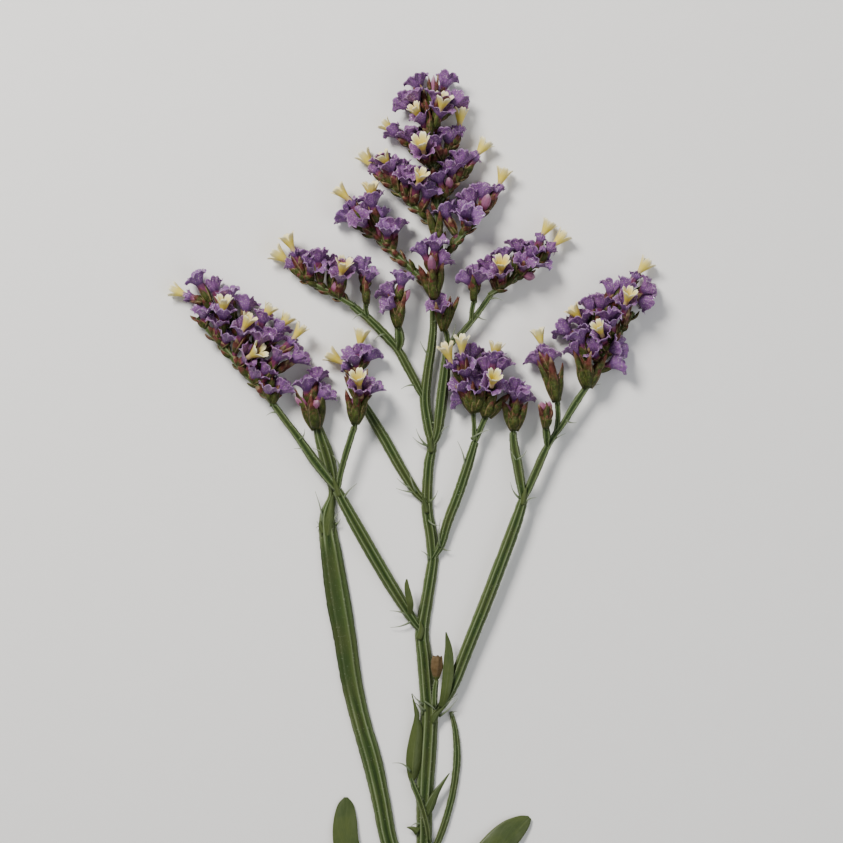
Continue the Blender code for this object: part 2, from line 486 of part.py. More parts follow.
def rest_on_table(bm):
    """Presses what would dip under the table flat against it."""
    for vert in bm.verts:
        vert.co.z = max(vert.co.z, 0.0)


def fuse(base, helpers):
    """Joins a collection's objects to base in one solid and removes them."""
    union = base.modifiers.new("union", "BOOLEAN")
    union.operation = "UNION"
    union.operand_type = "COLLECTION"
    union.collection = helpers
    apply_modifiers(base)
    for obj in list(helpers.objects):
        bpy.data.objects.remove(obj)
    bpy.data.collections.remove(helpers)


def apply_modifiers(obj):
    graph = bpy.context.evaluated_depsgraph_get()
    mesh = bpy.data.meshes.new_from_object(obj.evaluated_get(graph))
    obj.modifiers.clear()
    obj.data = mesh


def cut_clear(obj, cutter):
    """Cuts an object back from its neighbour, which stands here as a slightly larger cutter."""
    cut = obj.modifiers.new("seat", "BOOLEAN")
    cut.operation = "DIFFERENCE"
    cut.object = cutter
    apply_modifiers(obj)


def connected_faces(start):
    """Every face that can be reached from this one over shared edges."""
    found = {start}
    waiting = [start]
    while waiting:
        for edge in waiting.pop().edges:
            for face in edge.link_faces:
                if face not in found:
                    found.add(face)
                    waiting.append(face)
    return found


def drop_scraps(obj):
    """Keeps an object's largest body and drops scraps and sealed hollows left by its Booleans."""
    bm = bmesh.new()
    bm.from_mesh(obj.data)
    bmesh.ops.remove_doubles(bm, verts=bm.verts, dist=MERGE_DISTANCE)
    left = set(bm.faces)
    bodies = []
    while left:
        body = connected_faces(next(iter(left)))
        bodies.append(body)
        left -= body
    bodies.sort(key=len)
    scraps = [face for body in bodies[:-1] for face in body]
    bmesh.ops.delete(bm, geom=scraps, context="FACES")
    bm.to_mesh(obj.data)
    bm.free()


def helper_collection(name):
    helpers = bpy.data.collections.new(name)
    bpy.context.scene.collection.children.link(helpers)
    return helpers


def add_node_tip(root, end, helpers):
    """A fine point, as the wings of a stem end in at a node."""
    start, tip = Vector(root) * MM, Vector(end) * MM
    along = tip - start
    frames = [frame_at(start, along, NODE_TIP_RADIUS, NODE_TIP_RADIUS),
              frame_at(tip, along, 0.6 * NODE_TIP_RADIUS, 0.6 * NODE_TIP_RADIUS)]
    object_from(sweep(TIP_SECTION, frames), "node_tip", helpers)


def make_stem(name, stem):
    bm = sweep(WINGED_SECTION, stem_frames(stem["route"], STEM_STATION_SPACING))
    rest_on_table(bm)
    base = object_from(bm, name)
    helpers = helper_collection(name + "_helpers")
    for twig in stem["twigs"]:
        object_from(sweep(TWIG_SECTION, stem_frames(twig, STEM_STATION_SPACING)), "twig", helpers)
    for root, end in stem["tips"]:
        add_node_tip(root, end, helpers)
    fuse(base, helpers)
    return base


def make_cutter(name, stem):
    """A plain copy of a stem, larger by the seat gap, that what grows from it is cut back by."""
    frames = stem_frames(stem["route"], STEM_STATION_SPACING, SEAT_GAP)
    cutter = object_from(sweep(OUTLINE_SECTION, frames), name + "_cutter")
    cutter.hide_render = True
    cutter.display_type = "WIRE"
    return cutter


def turned_solid(sides, stages, foot, centre, flat=1.0):
    """A closed mesh with few sides along +Z, from a point at the height foot to its centre. A
    stage is its radius, its height and the share of that radius at the corners between the
    sides, with 0 for none."""
    bm = bmesh.new()
    bmesh.ops.create_circle(bm, cap_ends=True, segments=sides, radius=1)
    base = cap = next(iter(bm.faces))
    for number, (radius, height, share) in enumerate(stages):
        cap = extrude_cap(bm, cap, keep=number == 0)
        if share and len(cap.verts) == sides:
            bmesh.ops.bisect_edges(bm, edges=cap.edges, cuts=1)
        for vert in cap.verts:
            between = math.cos(sides * math.atan2(vert.co.x, vert.co.y)) < 0
            way = vert.co.to_2d().normalized() * radius * (share if between else 1)
            vert.co = Vector((way.x, way.y * flat, height))
    bmesh.ops.poke(bm, faces=[cap])["verts"][0].co = Vector((0, 0, centre))
    bmesh.ops.pointmerge(bm, verts=base.verts, merge_co=Vector((0, 0, foot)))
    bmesh.ops.triangulate(bm, faces=[face for face in bm.faces if len(face.verts) > 4])
    return bm


def flower_solid(kind, reach, size):
    """A calyx, one with its corolla open, a young flower or a bud, from its root to its mouth."""
    if kind in "bB":
        belly = (BUD_BELLY_RADIUS if kind == "b" else BIG_BUD_BELLY_RADIUS) * size
        stages = ((belly, 0.5 * reach, 0), (0.8 * belly, 0.72 * reach, 0))
        return turned_solid(FLOWER_SIDES, stages, -ROOT_SINK, reach)
    throat = (CALYX_THROAT_RADIUS, reach - CALYX_THROAT_DROP * size, 0)
    mouth = CALYX_MOUTH_RADIUS * size
    rim = (mouth, reach, 0)
    if kind == "c":
        return turned_solid(FLOWER_SIDES, (throat, rim), -ROOT_SINK, reach - CALYX_DEPTH * size)
    rise = reach + COROLLA_RISE * size
    neck = (COROLLA_NECK_RADIUS, reach - COROLLA_NECK_DROP, 0)
    lobes = (COROLLA_LOBE_RADIUS * size, rise, COROLLA_NOTCH_SHARE)
    stages = (throat, rim, neck, lobes) if kind == "o" else (throat, neck, lobes)
    return turned_solid(FLOWER_SIDES, stages, -ROOT_SINK, rise - COROLLA_DEPTH)


def place_along(root, way, roll):
    turn = way.to_track_quat("Z", "Y").to_matrix().to_4x4()
    return Matrix.Translation(root) @ turn @ Matrix.Rotation(roll, 4, "Z")


def point_along(curve, share):
    spot = share * (len(curve) - 1)
    before = min(int(spot), len(curve) - 2)
    return curve[before].lerp(curve[before + 1], spot - before)


def flowers_of(spike, draw):
    """Every flower of a spike as (kind, root on the axis, way from root to mouth, roll, size)."""
    curve = smooth_curve([Vector(point) * MM for point in spike["route"]], RACHIS_STATION_SPACING)
    found = []
    for mouths, first, last, kinds in spike["rows"]:
        line = [Vector(point) * MM for point in mouths]
        for number, kind in enumerate(kinds):
            share = number / max(len(kinds) - 1, 1)
            root = point_along(curve, first + (last - first) * share)
            scatter = Vector([draw.uniform(-1, 1) for axis in range(3)]) * MOUTH_SCATTER
            way = point_along(line, share) + scatter - root
            size = 1 + draw.uniform(-1, 1) * SIZE_SCATTER
            found.append((kind, root, way, draw.uniform(0, math.tau), size))
    return found


def add_flower(flower, helpers):
    """A flower and the bract at its outer side, raised until neither dips under the table."""
    kind, root, way, roll, size = flower
    reach = way.length
    way = way.normalized()
    bloom = flower_solid(kind, reach, size)
    bmesh.ops.transform(bloom, matrix=place_along(root, way, roll), verts=bloom.verts)
    lift = max(0.0, -min(vert.co.z for vert in bloom.verts))
    bmesh.ops.translate(bloom, vec=Vector((0, 0, lift)), verts=bloom.verts)
    object_from(bloom, "flower", helpers)
    if way.z > STEEPEST_WITH_BRACT or kind in "bB":
        return
    outward = way.cross(Vector((0, 0, 1))).normalized() * math.copysign(1, math.cos(roll))
    bract_way = (way + BRACT_LEAN * outward).normalized()
    turn = Matrix((bract_way.cross(outward), outward, bract_way)).transposed().to_4x4()
    belly = (BRACT_WIDTH, 0.4 * BRACT_LENGTH, 0)
    bract = turned_solid(BRACT_SIDES, (belly,), -ROOT_SINK, BRACT_LENGTH, BRACT_THICKNESS_SHARE)
    start = root + way * max(reach - BRACT_DROP, 0) + outward * BRACT_SEAT + Vector((0, 0, lift))
    bmesh.ops.transform(bract, matrix=Matrix.Translation(start) @ turn, verts=bract.verts)
    object_from(bract, "bract", helpers)


def rachis_frames(curve):
    """Frames along a spike's axis, slim at its root, thick among the flowers and slim at its tip."""
    frames = []
    reach = (curve[-1] - curve[0]).length
    belly = min(RACHIS_BELLY_RADIUS, RACHIS_ROOT_RADIUS + RACHIS_SWELL_SHARE * reach)
    for number, place in enumerate(curve):
        share = number / (len(curve) - 1)
        swell = math.sin(math.pi * share) ** 0.7
        end = RACHIS_TIP_RADIUS if share > 0.5 else RACHIS_ROOT_RADIUS
        radius = end + (belly - end) * swell
        before = curve[max(number - 1, 0)]
        after = curve[min(number + 1, len(curve) - 1)]
        frames.append(frame_at(place, after - before, radius, radius))
    return frames


def make_spike(name, spikes, draw):
    """One or more spikes of flowers on their axes, fused in one solid."""
    helpers = helper_collection(name + "_helpers")
    base = None
    for spike in spikes:
        curve = smooth_curve([Vector(point) * MM for point in spike["route"]], RACHIS_STATION_SPACING)
        bm = sweep(RACHIS_SECTION, rachis_frames(curve))
        axis = object_from(bm, "axis" if base else name, helpers if base else None)
        base = base or axis
        for flower in flowers_of(spike, draw):
            add_flower(flower, helpers)
    fuse(base, helpers)
    return base


def outline_at(outline, share):
    for before, after in zip(outline, outline[1:]):
        if share <= after[0]:
            t = (share - before[0]) / (after[0] - before[0])
            return [(before[side] + (after[side] - before[side]) * t) * MM for side in (1, 2)]
    return [outline[-1][side] * MM for side in (1, 2)]


def make_leaf(name, leaf):
    """A thin blade that follows its midrib and is arched across it."""
    midrib = smooth_curve([Vector(point) * MM for point in leaf["midrib"]], LEAF_STATION_SPACING)
    bm = bmesh.new()
    rows = len(LEAF_STATIONS) - 1
    grid = bmesh.ops.create_grid(bm, x_segments=2, y_segments=rows, size=1)["verts"]
    for vert in grid:
        side = round(vert.co.x)
        share = LEAF_STATIONS[round((vert.co.y + 1) / 2 * rows)]
        place = point_along(midrib, share)
        ahead = point_along(midrib, min(share + 0.02, 1)) - point_along(midrib, max(share - 0.02, 0))
        left, right = outline_at(leaf["outline"], share)
        width = left if side < 0 else right
        across = ahead.cross(Vector((0, 0, 1))).normalized() * side * width
        sag = Vector((0, 0, LEAF_ARCH_SHARE * width * abs(side)))
        vert.co = place + across - sag
    bmesh.ops.recalc_face_normals(bm, faces=bm.faces)
    bmesh.ops.triangulate(bm, faces=bm.faces)
    bmesh.ops.solidify(bm, geom=bm.faces, thickness=LEAF_THICKNESS)
    bmesh.ops.triangulate(bm, faces=bm.faces)
    return object_from(bm, name)


def finish(obj, material):
    drop_scraps(obj)
    obj.data.materials.clear()
    obj.data.materials.append(material)
    obj.data.shade_smooth()
    obj.data.set_sharp_from_angle(angle=SHARP_EDGE_ANGLE)


def main():
    clear_scene()
    green = make_material("stem_green", GREEN, 0.55)
    leaf_green = make_material("leaf_green", LEAF_GREEN, 0.5)
    purple = make_material("papery_purple", PURPLE, 0.7)
    brown = make_material("bud_brown", BUD_BROWN, 0.7)
    cutters = {}
    for name, stem in STEMS.items():
        obj = make_stem(name, stem)
        if stem["parent"]:
            cut_clear(obj, cutters[stem["parent"]])
        cutters[name] = make_cutter(name, stem)
        finish(obj, green)
    draw = random.Random(SEED)
    for name, spikes in SPIKES.items():
        finish(make_spike(name, spikes, draw), brown if name.endswith("bud") else purple)
    for name, leaf in LEAVES.items():
        blade = make_leaf(name, leaf)
        cut_clear(blade, cutters[leaf["parent"]])
        finish(blade, leaf_green)


main()
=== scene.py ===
"""Statice: the looks of one cut flowering stem that lies on a table.

The file is laid out as a Blender add-on and is run as a script. Every piece stands where the
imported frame's node stands, and is a finer form of it: winged stems, leaves, and spikes of papery
calyces with cream corollas and pointed bracts. Routes and mouths are points in millimetres.
"""

import math
import random
from collections import namedtuple

import bmesh
import bpy
from mathutils import Matrix, Vector, noise


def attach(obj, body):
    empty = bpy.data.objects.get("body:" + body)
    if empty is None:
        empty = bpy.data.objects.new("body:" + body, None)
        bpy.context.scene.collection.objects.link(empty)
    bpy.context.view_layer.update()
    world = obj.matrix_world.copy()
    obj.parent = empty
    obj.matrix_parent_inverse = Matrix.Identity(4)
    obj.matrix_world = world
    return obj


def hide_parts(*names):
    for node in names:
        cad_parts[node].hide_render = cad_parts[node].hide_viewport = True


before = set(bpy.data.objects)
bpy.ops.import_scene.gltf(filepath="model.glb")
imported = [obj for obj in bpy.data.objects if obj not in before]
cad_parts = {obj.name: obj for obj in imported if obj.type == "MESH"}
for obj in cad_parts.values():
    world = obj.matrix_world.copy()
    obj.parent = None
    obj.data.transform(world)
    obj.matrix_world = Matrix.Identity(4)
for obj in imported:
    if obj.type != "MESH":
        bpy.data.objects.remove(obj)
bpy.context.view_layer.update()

bl_info = {
    "name": "Statice",
    "version": (1, 0, 0),
    "blender": (4, 5, 0),
    "location": "3D View > Sidebar > Statice",
    "description": "Models a cut stem of statice with its papery flowers, and a plain stage",
    "category": "Add Mesh",
}

MM = 0.001
UP = Vector((0, 0, 1))
SEED = 41
WELD = 0.000002
GROWTH = "growth"
FLOW = "flow"
BODY = "root"

# The lowest that a flower or a leaf comes to the table, so that its wall stays above it.
TABLE_CLEARANCE = 0.1

# Flower sizes in millimetres, and shares of them, as the solids have them.
ROOT_SINK = 0.8
CALYX_THROAT_RADIUS = 1.3
CALYX_THROAT_DROP = 6.2
CALYX_MOUTH_RADIUS = 4.5
COROLLA_RISE = 2.2
COROLLA_LOBE_RADIUS = 3.4
BUD_BELLY_RADIUS = 1.35
BIG_BUD_BELLY_RADIUS = 2.3
BRACT_DROP = 14.0
BRACT_LENGTH = 9.5
BRACT_WIDTH = 2.3
BRACT_TIP_DROP = 5.4
FAN_ROUNDING = 1.4
MOUTH_SCATTER = 0.5
SIZE_SCATTER = 0.12

# Stem sections: (angle, share of the half width) round a stem.
WINGED_SECTION = ((60, 1.0), (90, 0.66), (120, 1.0), (186, 1.05), (232, 1.0), (308, 1.0), (354, 1.05))
TWIG_SECTION = ((55, 1.05), (90, 0.68), (125, 1.05), (215, 1.1), (325, 1.1))
STEM_HEIGHT_SHARE = 0.72
STEM_MOST_HALF_HEIGHT = 2.0
RACHIS_STATION_SPACING = 12.0
RACHIS_ROOT_RADIUS = 0.95
RACHIS_BELLY_RADIUS = 1.4
RACHIS_TIP_RADIUS = 0.85
RACHIS_SWELL_SHARE = 0.015

# How far an axis reaches back into its stem, and where round it its hairs stand.
RACHIS_SOCKET = 1.6
RACHIS_HAIR_CORNERS = ((0, 1.0), (50, 1.0), (130, 1.0), (180, 1.0), (230, 1.0), (310, 1.0))

# The spike that is one bud alone, without scales or bracts.
BARE_SPIKE = "axil_bud"

# How far a blade falls off to its margins and waves there, as shares of its width, how deep its
# midrib is sunk, in millimetres, and how wide that furrow is. A leaf's own record goes first.
LEAF_ARCH = 0.18
LEAF_WAVE = 0.07
LEAF_RIB_DEPTH = 0.25
LEAF_RIB_WIDTH = 0.09
NODE_BLADE_ARCH = 0.5

# How deep a section is drawn in between its corners, how high the teeth of the wings are, in
# millimetres, the half width from which a stem is broad, and how many rows the flow's unit is long.
SECTION_HOLLOW = 0.17
TOOTH_HEIGHT = 0.20
BROAD_HALF_WIDTH = 5
FLOW_ROWS = 40

# Faces round and along the parts whose number isn't a setting.
FILAMENT_SIDES, FILAMENT_ROWS = 6, 10
RACHIS_SIDES = 15
TUBE_ROWS, LIMB_ROWS = 4, 10
COROLLA_SIDES, COROLLA_ROWS = 60, 12
BUD_SIDES, BUD_ROWS = 25, 14
BRACT_COLUMNS, BRACT_ROWS = 6, 8

# Radii of the points at the nodes and of the hairs, in millimetres, and how near the table hairs grow.
NODE_TIP_RADIUS = 0.42
NODE_HAIR_RADIUS = 0.38
HAIR_RADII = (0.06, 0.11)
LOWEST_HAIR = 0.5

# The form of a calyx of size 1, in millimetres: how deep the gaps between its lobes and the
# scallops of its rim are, how far it tilts, and how high its waves, crinkles and ripples stand. A
# young calyx has these shares of the length and of the width of an open one.
CALYX_CLEFT = 1.25
CALYX_SCALLOP = 0.55
CALYX_TILT = 0.6
CALYX_WAVE = 0.45
CALYX_CRINKLE = 0.26
CALYX_RIPPLE = 0.4
YOUNG_CALYX_SHARES = (0.62, 0.5)

# The form of a corolla: how far down its calyx it starts and its radius there, in millimetres, the
# share of it that is a tube, and how deep its clefts and its notches are, as shares of its length.
COROLLA_DROP = 4.6
COROLLA_FOOT_RADIUS = 0.9
COROLLA_TUBE_SHARE = 0.26
COROLLA_CLEFT = 0.37
COROLLA_NOTCH = 0.06
NOTCH_WIDTH = 0.3

# How far round an axis each of its scales stands from the one before, in radians.
SCALE_TURN = 2.4

# Lobes of a flower, and which of a flower's random draws belong to which of its parts.
LOBES = 5
CALYX_DRAW, COROLLA_DRAW, BUD_DRAW, BRACT_DRAW = range(4)

# Stems. Each route is (x, y, height, half width) in millimetres from the root end up, and twigs
# grow from it in the same piece. Node tips are the fine points that the wings end in: (x, y,
# height) of the root, then of the end.
STEMS = {
    "main_stem": {
        "route": ((-2.4, -102, 1.4, 2.5), (-1.2, -80, 1.45, 2.9), (0, -57, 1.45, 3), (0.2, -40, 1.45, 3.2),
                  (1.2, -22, 1.45, 3.6), (2, -7, 1.45, 3.4), (1.3, 2, 1.45, 3), (0.2, 16, 1.45, 2.9),
                  (-0.8, 27, 1.45, 2.7), (1.2, 40, 1.3, 2.4), (2.8, 50, 1.25, 2.3), (3.6, 57, 1.2, 2.2),
                  (2.8, 66, 1.25, 2.3), (1.2, 77, 1.4, 2.2), (1.8, 93, 2, 2), (3.2, 102, 2.4, 1.9),
                  (1.8, 110, 2.8, 2.2), (0.4, 120, 3.4, 2.1), (1.4, 131, 4.2, 1.9), (3, 141, 5, 1.7),
                  (3.8, 150, 5.8, 1.5), (3.8, 157.4, 6.4, 1.4)),
        "twigs": (((1.9, -57, 2.6, 0.9), (1.4, -52, 3.7, 1.3), (0, -46, 3.9, 1.4), (-1.9, -40, 3.8, 1.4),
                   (-4, -35, 3.2, 1.3), (-5.2, -31.4, 2.6, 0.7)),),
        "tips": (((0.2, -2, 2.2), (-4.8, 2.6, 4.2)), ((-0.4, -6, 2), (-4.8, -0.6, 2.6)),
                 ((2, 79, 2.6), (5.6, 84, 3.6)), ((2.2, 56, 2.4), (-1.2, 59.6, 3)),
                 ((2, 101, 3), (-3.2, 108.6, 4)), ((2.2, 101.6, 2.4), (-4.6, 105.2, 2.2)),
                 ((0, -44, 2.6), (10.2, -29.4, 4.2)), ((-1, -50, 2.4), (-5.6, -51.2, 2.6)),
                 ((2.6, 137, 5), (-1.6, 143.6, 6))),
    },
    "left_stem": {
        "route": ((-1.4, -82, 1.7, 1), (-4.8, -74, 1.7, 2), (-9.4, -65, 1.8, 3), (-14, -57, 1.8, 3.3),
                  (-17.4, -40, 1.8, 3.6), (-21, -24, 1.8, 3.9), (-25.6, -8, 1.8, 3.8), (-29.2, 8, 1.8, 4.1),
                  (-31.6, 24, 1.8, 4.4), (-34.4, 40, 1.8, 4.7), (-36.8, 56, 1.8, 4.2),
                  (-38.6, 68, 1.8, 3.5), (-38.6, 75, 1.8, 2.7), (-36.6, 82.4, 1.8, 1.6),
                  (-37.2, 90, 2.2, 2.6), (-39.2, 98, 3.2, 2.9), (-41.4, 105, 4.4, 2.4),
                  (-42.6, 109.6, 5, 1.7)),
        "tips": (((-40.2, 70, 2.4), (-43.6, 83.4, 3)), ((-37, 70, 2.6), (-33.8, 75.6, 3)),
                 ((-40.4, 69, 1.6), (-43.4, 68.6, 1.6))),
    },
    "right_slender_stem": {
        "route": ((0.2, -67, 1.3, 0.8), (3.4, -61.5, 1.3, 1.2), (6.4, -55, 1.3, 1.4), (9.4, -46, 1.3, 1.4),
                  (11.8, -36, 1.3, 1.4), (13.2, -24, 1.3, 1.5), (12.6, -13, 1.2, 1.2), (10.8, -5, 1, 0.7)),
        "tips": (((10.9, -7, 1.4), (13.4, -4.8, 1.4)),),
    },
    "left_branch": {
        "route": ((-0.8, 27.2, 1.8, 1), (-4.4, 31.8, 2.4, 1.8), (-9.6, 40, 3.4, 2.3),
                  (-17.6, 53.2, 4.8, 2.5), (-25.6, 67.2, 6.4, 2.5), (-31.6, 78, 7.4, 2.2),
                  (-34.6, 84, 7.8, 1.8)),
        "twigs": (((-34.6, 84, 7.8, 1.4), (-39.6, 90.2, 8, 2.1), (-44.8, 97, 7.8, 2.2),
                   (-50.4, 105.2, 7.4, 1.8), (-55.6, 112, 7.2, 1.6), (-60, 118, 7.2, 1.5)),
                  ((-34.6, 84, 7.8, 1.3), (-33.2, 91.2, 8.4, 1.4), (-30.8, 100, 8.8, 1.5),
                   (-27.8, 109.2, 9, 1.5))),
        "tips": (((-5.8, 33.4, 2.8), (-13.8, 35.6, 3.2)), ((-4.6, 31.6, 2.4), (-13.6, 28.8, 1.6)),
                 ((-32.6, 80, 8), (-26.8, 86.6, 9)), ((-33.4, 92, 8.4), (-36.4, 98, 9.4)),
                 ((-50, 104, 8), (-47.6, 108.4, 9.6))),
    },
    "middle_left_branch": {
        "route": ((1.2, 78.6, 2, 1), (-3.6, 83.6, 2.3, 1.7), (-9.6, 93.2, 2.6, 2.1), (-15.6, 104, 3, 2.1),
                  (-21.6, 114, 3.6, 1.8), (-24, 118, 4, 1.5)),
        "tips": (((-4, 84.2, 2.4), (-10.8, 88.6, 3.2)), ((-3.4, 83, 2.2), (-11.2, 84.6, 1.8)),
                 ((-3, 83, 3), (-5.6, 90.2, 5))),
    },
    "upper_left_branch": {
        "route": ((0.3, 120, 3.5, 1), (-2.8, 126, 4, 1.6), (-6.4, 132.8, 4.6, 1.8), (-10.4, 140, 5.2, 1.6),
                  (-15.6, 146, 5.6, 1.8), (-22.4, 152.8, 6.2, 1.6), (-26, 155.6, 6.5, 1.5),
                  (-28.8, 158, 6.7, 1.4)),
        "twigs": (((-10.4, 140, 5.2, 1.1), (-9.7, 142.8, 6.6, 2), (-9.8, 146, 7.8, 2.2),
                   (-10.4, 149.6, 8.6, 1.4)),
                  ((-22.4, 152.8, 6.2, 1), (-23.2, 156, 7.6, 1.1), (-23.2, 158.4, 8.6, 1.1))),
        "tips": (((-3.4, 126, 4), (-9.2, 124.4, 4.4)),),
    },
    "right_branch": {
        "route": ((2.2, -7.5, 1.8, 1), (6.4, -3.4, 3.6, 1.5), (9.4, 1.4, 4.8, 2), (12.8, 8.8, 5, 2.4),
                  (16.8, 19.2, 5.2, 2.5), (24.8, 39.2, 5.8, 2.6), (31.2, 56, 6.2, 2.6),
                  (36.8, 71.2, 6.6, 2.4), (39.6, 80, 6.8, 1.9)),
        "twigs": (((39.6, 80, 6.8, 1.4), (38.8, 86, 6.8, 2.1), (37.2, 95.2, 6.6, 2.3), (36, 102, 6.4, 2),
                   (35.6, 107.2, 6.4, 1.6)),
                  ((39.6, 80, 6.8, 1.4), (42.4, 86, 6.8, 1.8), (46.4, 95.2, 6.8, 1.9),
                   (49.2, 101.2, 6.8, 1.6), (52.8, 106.8, 6.8, 1.4), (55.4, 110.2, 6.8, 1.4),
                   (60.4, 118.4, 7, 1.7), (65.2, 125.4, 7.2, 1.4)),
                  ((52.8, 106.8, 6.8, 1.1), (53.6, 113.6, 7.2, 1.2), (53.2, 119.2, 7.6, 1.2)),
                  ((49.2, 101.2, 6.8, 1), (49, 105.6, 8.6, 1.8), (48.6, 109.4, 9.4, 1.5))),
        "tips": (((5.6, -6, 3), (13.6, 2.4, 3.4)), ((6.4, -5.4, 2.4), (12.4, 0.8, 6.4)),
                 ((38.6, 80.4, 6.4), (34.6, 87.2, 6.6)), ((37.6, 93, 6.8), (34, 100.4, 7.4)),
                 ((49.6, 101, 7), (56.6, 106.6, 5.6)), ((63.6, 123, 7.2), (70.6, 126.4, 8.4))),
    },
    "middle_right_branch": {
        "route": ((3.6, 56.4, 1.8, 1), (6.8, 62, 2.5, 1.6), (9.6, 71.6, 3.4, 1.9), (13.6, 82, 4.2, 2),
                  (17.6, 94, 5, 1.9), (20.4, 103.2, 5.6, 1.5)),
        "twigs": (((20.4, 103.2, 5.6, 1.2), (20, 110, 6.2, 1.1), (19.6, 115.2, 6.6, 1.1)),
                  ((20.4, 103.2, 5.6, 1.2), (23, 109.6, 6.2, 1.4), (25.2, 114.4, 6.6, 1.3))),
        "tips": (((7, 61.2, 2.4), (11, 59.8, 2.2)), ((6.4, 61, 3.2), (6.6, 72.4, 4.4)),
                 ((16.6, 92, 5.4), (13.4, 103.6, 6.4)), ((18.8, 104.4, 5.8), (26.6, 108.2, 7.6))),
    },
    "centre_branch": {
        "route": ((3.2, 101.4, 2.6, 1), (5.4, 107, 3.6, 1.7), (6.6, 116, 4.6, 2.2), (7.8, 126, 5.4, 2.2),
                  (8.9, 135.2, 6, 1.9), (9.6, 141.2, 6.4, 1.5)),
        "twigs": (((9.6, 141.2, 6.4, 1.3), (13.6, 145.2, 6.5, 1.3), (18.8, 151.2, 6.6, 1.4),
                   (23.6, 157.6, 6.8, 1.3), (26.8, 162.2, 7, 1.2)),
                  ((18.8, 151.2, 6.6, 1), (19.2, 156, 7.8, 1.1), (20, 159.6, 8.6, 1.1)),
                  ((9.6, 141.2, 6.4, 1.2), (9.2, 145.6, 7.6, 1.2), (8.2, 148.6, 8.2, 1.2))),
        "tips": (((6, 106, 3.6), (10.2, 109.8, 3.6)), ((9.8, 142, 7), (12.6, 150.4, 8.4)),
                 ((25.4, 160, 7), (31.4, 159.8, 6.6))),
    },
}

